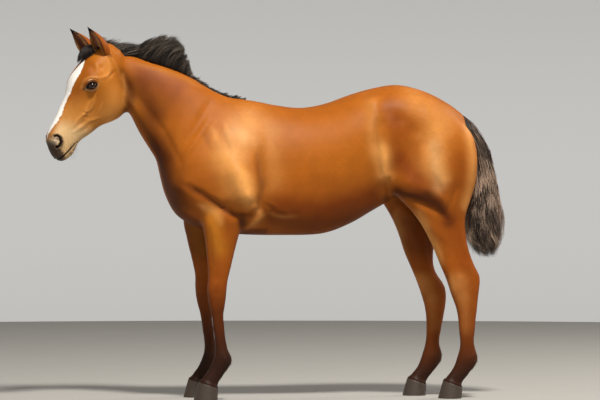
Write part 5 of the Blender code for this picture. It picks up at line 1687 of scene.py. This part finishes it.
# places where longer hair breaks the form, beside the belly and the throat: path and spread
shaggy = (
    (((0.405, 1.25), (0.4, 1.17), (0.452, 0.985), (0.48, 0.95)), 0.022),
    (((-0.11, 0.86), (-0.082, 0.8), (-0.14, 0.745)), 0.02),
    (((-0.32, 0.8), (-0.24, 0.77)), 0.025),
    (((0.64, 0.77), (0.7, 0.64)), 0.016),
    (((0.855, 1.0), (0.85, 0.85), (0.86, 0.62)), 0.014),
    (((-0.18, 0.7), (-0.215, 0.56)), 0.014),
    (((0.765, 0.52), (0.78, 0.44)), 0.02),
    (((-0.226, 0.46), (-0.236, 0.24)), 0.01),
    (((0.89, 0.46), (0.872, 0.24)), 0.01),
)


# 1 where the hair stands longer and looser, 0 on the smooth sides
def shagShare(points, normals):
    flat = sidePlace(points)
    share = ramp(-0.45, -0.85, normals[:, 2]) * ramp(0.55, 0.68, points[:, 2])
    for path, spread in shaggy:
        share = np.maximum(share, bell(pathDistance(flat, path), spread))
    return share * (1 - 0.75 * headShare(points))


# how sharply the skin rounds at each of its points, as one over the radius, ridges positive
def skinBend(mesh, points, normals):
    pairs = edgesOf(mesh)
    length = lengths(points[pairs[:, 0]] - points[pairs[:, 1]]) ** 2
    count = np.bincount(pairs.ravel(), minlength=len(points))
    mean = np.bincount(pairs.ravel(), np.repeat(length, 2), len(points)) / np.maximum(count, 1)
    sink = np.sum((relaxed(points, pairs, 1, np.ones(len(points))) - points) * normals, axis=1)
    return np.clip(-2 * sink / np.maximum(mean, 1e-9), -coat["sharpest"], coat["sharpest"])


# places on the skin with their normals and bends, spread by area times the wish for tufts there
def skinPlaces(skin, fleshCount, count):
    mesh = skin.data
    triangles = np.empty(len(mesh.loop_triangles) * 3, np.int32)
    mesh.loop_triangles.foreach_get("vertices", triangles)
    triangles = triangles.reshape(-1, 3)
    triangles = triangles[triangles.max(axis=1) < fleshCount]
    points, normals = readSkin(mesh)
    bend = skinBend(mesh, points, normals)
    corners = points[triangles]
    area = lengths(np.cross(corners[:, 1] - corners[:, 0], corners[:, 2] - corners[:, 0])) / 2
    middle = corners.mean(axis=1)
    wish = 0.8 + 2.0 * headShare(middle) + 0.6 * ramp(0.6, 0.4, middle[:, 2])
    wish = wish + 2.0 * shagShare(middle, normals[triangles[:, 0]])
    wish *= (middle[:, 2] > 0.045) * (1 - hairless(middle)) * (1 - bareSkin(middle))
    total = np.cumsum(area * wish)
    chosen = np.searchsorted(total, (np.arange(count) + rng.random(count)) / count * total[-1])
    chosen = rng.permutation(np.minimum(chosen, len(triangles) - 1))
    a, b = np.sqrt(rng.random(count))[:, None], rng.random(count)[:, None]
    mix = np.concatenate([1 - a, a * (1 - b), a * b], axis=1)[..., None]
    facing = unit((normals[triangles[chosen]] * mix).sum(axis=1))
    return (corners[chosen] * mix).sum(axis=1), facing, bend[triangles[chosen]].mean(axis=1)


# tufts from roots: each rises a little from the skin and lies over along its direction
def tuftPaths(roots, normals, direction, length, lift, steps):
    t = np.linspace(0, 1, steps)[None, :, None]
    rise = lift[:, None, None] * np.sin(t * math.pi * 0.62)
    bedded = roots[:, None, :] - 0.00015 * normals[:, None, :] * (1 - t)
    return bedded + direction[:, None, :] * length[:, None, None] * t + normals[:, None, :] * rise


# directions turned on the skin by a random angle
def swung(direction, normals, degrees):
    swing = np.radians(rng.normal(0, degrees, len(direction)))[:, None]
    return direction * np.cos(swing) + np.cross(normals, direction) * np.sin(swing)


# tufts lie along the body, shorter in hollows of the skin and bent close to it over ridges
def buildCoat(skin, fleshCount, finish):
    count = coat["tufts"]
    for number in range(coat["pieces"]):
        roots, normals, bend = skinPlaces(skin, fleshCount, count)
        onHead = headShare(roots)
        low = ramp(0.7, 0.5, roots[:, 2])
        length = coat["body"] + (coat["legs"] - coat["body"]) * low
        length = length + (coat["face"] - length) * onHead
        loose = shagShare(roots, normals)
        length = (length + (coat["long"] - length) * loose) * (0.75 + 0.5 * rng.random(count))
        length *= 1 - 0.8 * ramp(5, 22, -bend)
        direction = swung(hairLie(roots, normals), normals, 8 + 10 * loose)
        lift = length * (0.02 + 0.03 * rng.random(count) + 0.03 * loose * rng.random(count))
        lift -= np.maximum(bend, 0) * np.minimum(length, coat["bedded"]) ** 2 / 2
        paths = tuftPaths(roots, normals, direction, length, lift, coat["steps"])
        colour = coatColour(roots)
        width = coat["width"] * (0.75 + 0.5 * rng.random(count)) * (1 - 0.35 * onHead) * (1 + 0.3 * loose)
        vary = 0.93 + 0.14 * rng.random(count)
        colours = lockColours(np.linspace(0, 1, coat["steps"]), colour, colour * 1.06, vary)
        name = f"coat_tufts_{number + 1}"
        mesh = lockMesh(name, paths, width, normals, colours, skinSpot(roots), 1.6, 0.1)
        tilted = unit(normals + 0.1 * np.cross(normals, direction) * rng.normal(0, 1, count)[:, None])
        mesh.normals_split_custom_set_from_vertices(np.repeat(tilted, 4, axis=0))
        storeVectors(mesh, "combed", combedPlace(readPoints(mesh)))
        storeValues(mesh, "wet", np.zeros(len(mesh.vertices)))
        addPiece(name, mesh, finish)
    say(f"coat, {coat['pieces'] * coat['tufts']} tufts")


# longer hair: lashes, whiskers, the cups and rims of the ears, backs of the fetlocks
longHair = {
    "lashes": 90, "whiskers": 40, "wisps": 90, "cup": 620, "rim": 420, "fetlock": 900,
    "tries": 60000, "steps": 5,
}


# lashes fan out from the upper lid and turn up at their ends
def lashPaths(sign):
    gaze, front, upward = eyeFrame(sign)
    count = longHair["lashes"]
    angle = np.linspace(0.35, math.pi - 0.25, count) + rng.normal(0, 0.02, count)
    root = rimPlaces(sign, angle, 0.002)
    length = (0.008 + 0.004 * rng.random(count))[:, None]
    t = np.linspace(0, 1, 4)[None, :, None]
    fan = unit(gaze * 1.0 + np.cos(angle)[:, None] * front * 0.8 - upward * 0.25)
    return root[:, None] + fan[:, None] * length[:, None] * t + upward * 0.004 * t**2


# the first of many roots that a test lets through, as many as that kind of hair has
def firstOf(kind, wanted, roots, normals):
    picked = np.flatnonzero(wanted)[:longHair[kind]]
    return roots[picked], normals[picked], len(picked)


# whiskers stand out from the chin and the lower lip, and droop
def whiskerPaths(skin, fleshCount):
    roots, normals, _ = skinPlaces(skin, fleshCount, longHair["tries"])
    spot = inHead(roots)
    low = (spot[:, 0] > 0.46) & (spot[:, 2] > 0.0) & (headShare(roots) > 0.9)
    roots, normals, count = firstOf("whiskers", low, roots, normals)
    t = np.linspace(0, 1, 5)[None, :, None]
    length = (0.012 + 0.012 * rng.random(count))[:, None, None]
    straight = roots[:, None] + (normals + 0.35 * headAxes[0])[:, None] * length * t
    return straight + np.array([0, 0, -0.008]) * t**2, normals


# hair of an ear: in the cup it points inwards and up, on the rim it lies along the edge
def earHairPaths(side):
    count = longHair["cup"]
    share = 0.06 + 0.7 * rng.random(count) ** 1.3
    edge = np.sign(rng.uniform(-1, 1, count)) * (0.6 + 0.36 * rng.random(count))
    angle = edge * earReach(share)
    _, axis, _, facing, across = earFrame(side)
    roots = earWall(side, share[:, None], angle[:, None], 1.0)[:, 0]
    inward = -np.sin(angle)[:, None] * across * 0.8 + 0.3 * facing + axis * 1.2
    inward = unit(inward + rng.normal(0, 0.12, (count, 3)))
    t = np.linspace(0, 1, 4)[None, :, None]
    reach = (0.012 + 0.014 * rng.random(count))[:, None, None]
    cup = roots[:, None] + inward[:, None] * reach * t + axis * 0.004 * t**2
    many = longHair["rim"]
    shareRim = 0.12 + 0.86 * rng.random(many)
    angleRim = np.sign(rng.uniform(-1, 1, many)) * earReach(shareRim) * 0.99
    rimRoots = earWall(side, shareRim[:, None], angleRim[:, None], 0.5)[:, 0]
    rimWay = unit(axis * 1.0 + facing * 0.06 + rng.normal(0, 0.06, (many, 3)))
    rim = rimRoots[:, None] + rimWay[:, None] * (0.0035 + 0.0035 * rng.random(many))[:, None, None] * t
    return cup, share, rim, shareRim


# dark wisps from the roots of the ears, swept back over the cheeks
def wispPaths(skin, fleshCount):
    roots, normals, _ = skinPlaces(skin, fleshCount, longHair["tries"])
    down, side, out = inHead(roots).T
    near = (np.abs(down - 0.061) < 0.009) & (np.abs(out + 0.02) < 0.01) & (np.abs(side) > 0.03)
    roots, normals, count = firstOf("wisps", near, roots, normals)
    way = headAxes[2] + 0.1 * headAxes[0] + rng.normal(0, 0.12, (count, 3))
    way = unit(unit(way - normals * np.sum(way * normals, axis=1, keepdims=True)) + 0.05 * normals)
    length = 0.009 + 0.02 * rng.random(count) ** 2
    return tuftPaths(roots, normals, way, length, length * 0.05, 5), normals


# a short fringe down the back of each fetlock
def fetlockPaths(skin, fleshCount):
    roots, normals, _ = skinPlaces(skin, fleshCount, longHair["tries"])
    x = sidePlace(roots)[:, 0]
    back = np.where(x > 0.3, x - 0.845, x + 0.245)
    near = (np.abs(roots[:, 2] - 0.165) < 0.035) & (back > -0.012) & (normals[:, 0] > 0.1)
    roots, normals, count = firstOf("fetlock", near, roots, normals)
    down = np.array([0.15, 0.0, -1.0])
    way = down - normals * (normals @ down)[:, None]
    way = unit(unit(way) + 0.16 * normals + rng.normal(0, 0.06, (count, 3)))
    length = 0.009 + 0.008 * rng.random(count)
    return tuftPaths(roots, normals, way, length, length * 0.08, 4), normals, coatColour(roots)


# all the longer hair in one piece, each kind brought to the same number of steps
def buildLongHair(skin, fleshCount, finish):
    paths, facing, root, tip, width = [], [], [], [], []

    def add(newPaths, newFacing, rootTone, tipTone, wide):
        count = len(newPaths)
        steps = newPaths.shape[1]
        if steps != longHair["steps"]:
            at = np.linspace(0, steps - 1, longHair["steps"])
            low = np.minimum(at.astype(int), steps - 2)
            share = (at - low)[None, :, None]
            newPaths = newPaths[:, low] * (1 - share) + newPaths[:, low + 1] * share
        paths.append(newPaths)
        facing.append(np.broadcast_to(newFacing, (count, 3)))
        root.append(np.broadcast_to(rootTone, (count, 3)))
        tip.append(np.broadcast_to(tipTone, (count, 3)))
        width.append(np.full(count, wide))

    for sign in (-1, 1):
        add(lashPaths(sign), eyeFrame(sign)[2], tones["black"], tones["black"], 0.0007)
    whiskers, normals = whiskerPaths(skin, fleshCount)
    add(whiskers, headAxes[1], tones["dark"], tones["dark"], 0.0006)
    for side in earPlaces:
        cup, share, rim, shareRim = earHairPaths(side)
        pale = between(tones["tan"], tones["dark"], ramp(0.5, 0.9, share))
        add(cup, headAxes[2], pale, pale * 1.15, 0.0011)
        black = between(tones["dark"], tones["black"], ramp(0.3, 0.8, shareRim))
        add(rim, headAxes[1], black, black, 0.001)
    wisps, normals = wispPaths(skin, fleshCount)
    add(wisps, normals, tones["dark"], tones["black"], 0.001)
    fetlocks, normals, colour = fetlockPaths(skin, fleshCount)
    add(fetlocks, normals, colour, colour * 1.1, 0.0012)
    allPaths, allRoots = np.concatenate(paths), np.concatenate(root)
    count = len(allPaths)
    vary = 0.85 + 0.3 * rng.random(count)
    colours = lockColours(np.linspace(0, 1, longHair["steps"]), allRoots, np.concatenate(tip), vary)
    spots = skinSpot(allPaths[:, 0])
    mesh = lockMesh("fine_hairs", allPaths, np.concatenate(width), np.concatenate(facing), colours, spots)
    addPiece("fine_hairs", mesh, finish)
    say(f"lashes, whiskers, ears and fetlocks, {count} hairs")


# the floor, a fan of triangles from its middle to a wide rim
def buildGround():
    sides = ground["sides"]
    turn = fullTurn(sides)
    rim = np.column_stack([np.cos(turn), np.sin(turn), np.zeros(sides)]) * ground["radius"]
    points = np.vstack([rim, [[0, 0, 0]]])
    corner = np.arange(sides)
    fan = np.column_stack([corner, (corner + 1) % sides, np.full(sides, sides)])
    mesh = meshOf("floor", points + [0, 0, solidBox[0][2] - ground["gap"]], [fan])
    finish = Finish("floor_paint")
    speck = finish.noise(finish.here(), 3.0, 4.0)
    tone = np.array(ground["colour"])
    dark, pale = tuple(tone * (1 - ground["speck"])), tuple(tone * (1 + ground["speck"]))
    finish.put(Base_Color=finish.mixed(speck, dark, pale), Roughness=ground["roughness"])
    mesh.materials.append(finish.material)
    floor = addObject("floor", mesh)


setCamera()
setLamps()
buildGround()
coatMaterial = coatFinish("coat_bay", True)
skinPiece, fleshCount = buildSkin(coatMaterial)
buildEyes()
buildHooves()
buildMane(hairFinish("mane_hair_dark", 0.42, 0.3))
buildTail(hairFinish("tail_hair_dark", 0.4))
buildForelock(hairFinish("forelock_hair_dark", 0.42, 0.3))
buildCoat(skinPiece, fleshCount, coatFinish("coat_tuft_bay", False))
buildLongHair(skinPiece, fleshCount, hairFinish("fine_hair", 0.5))
say("all pieces made")
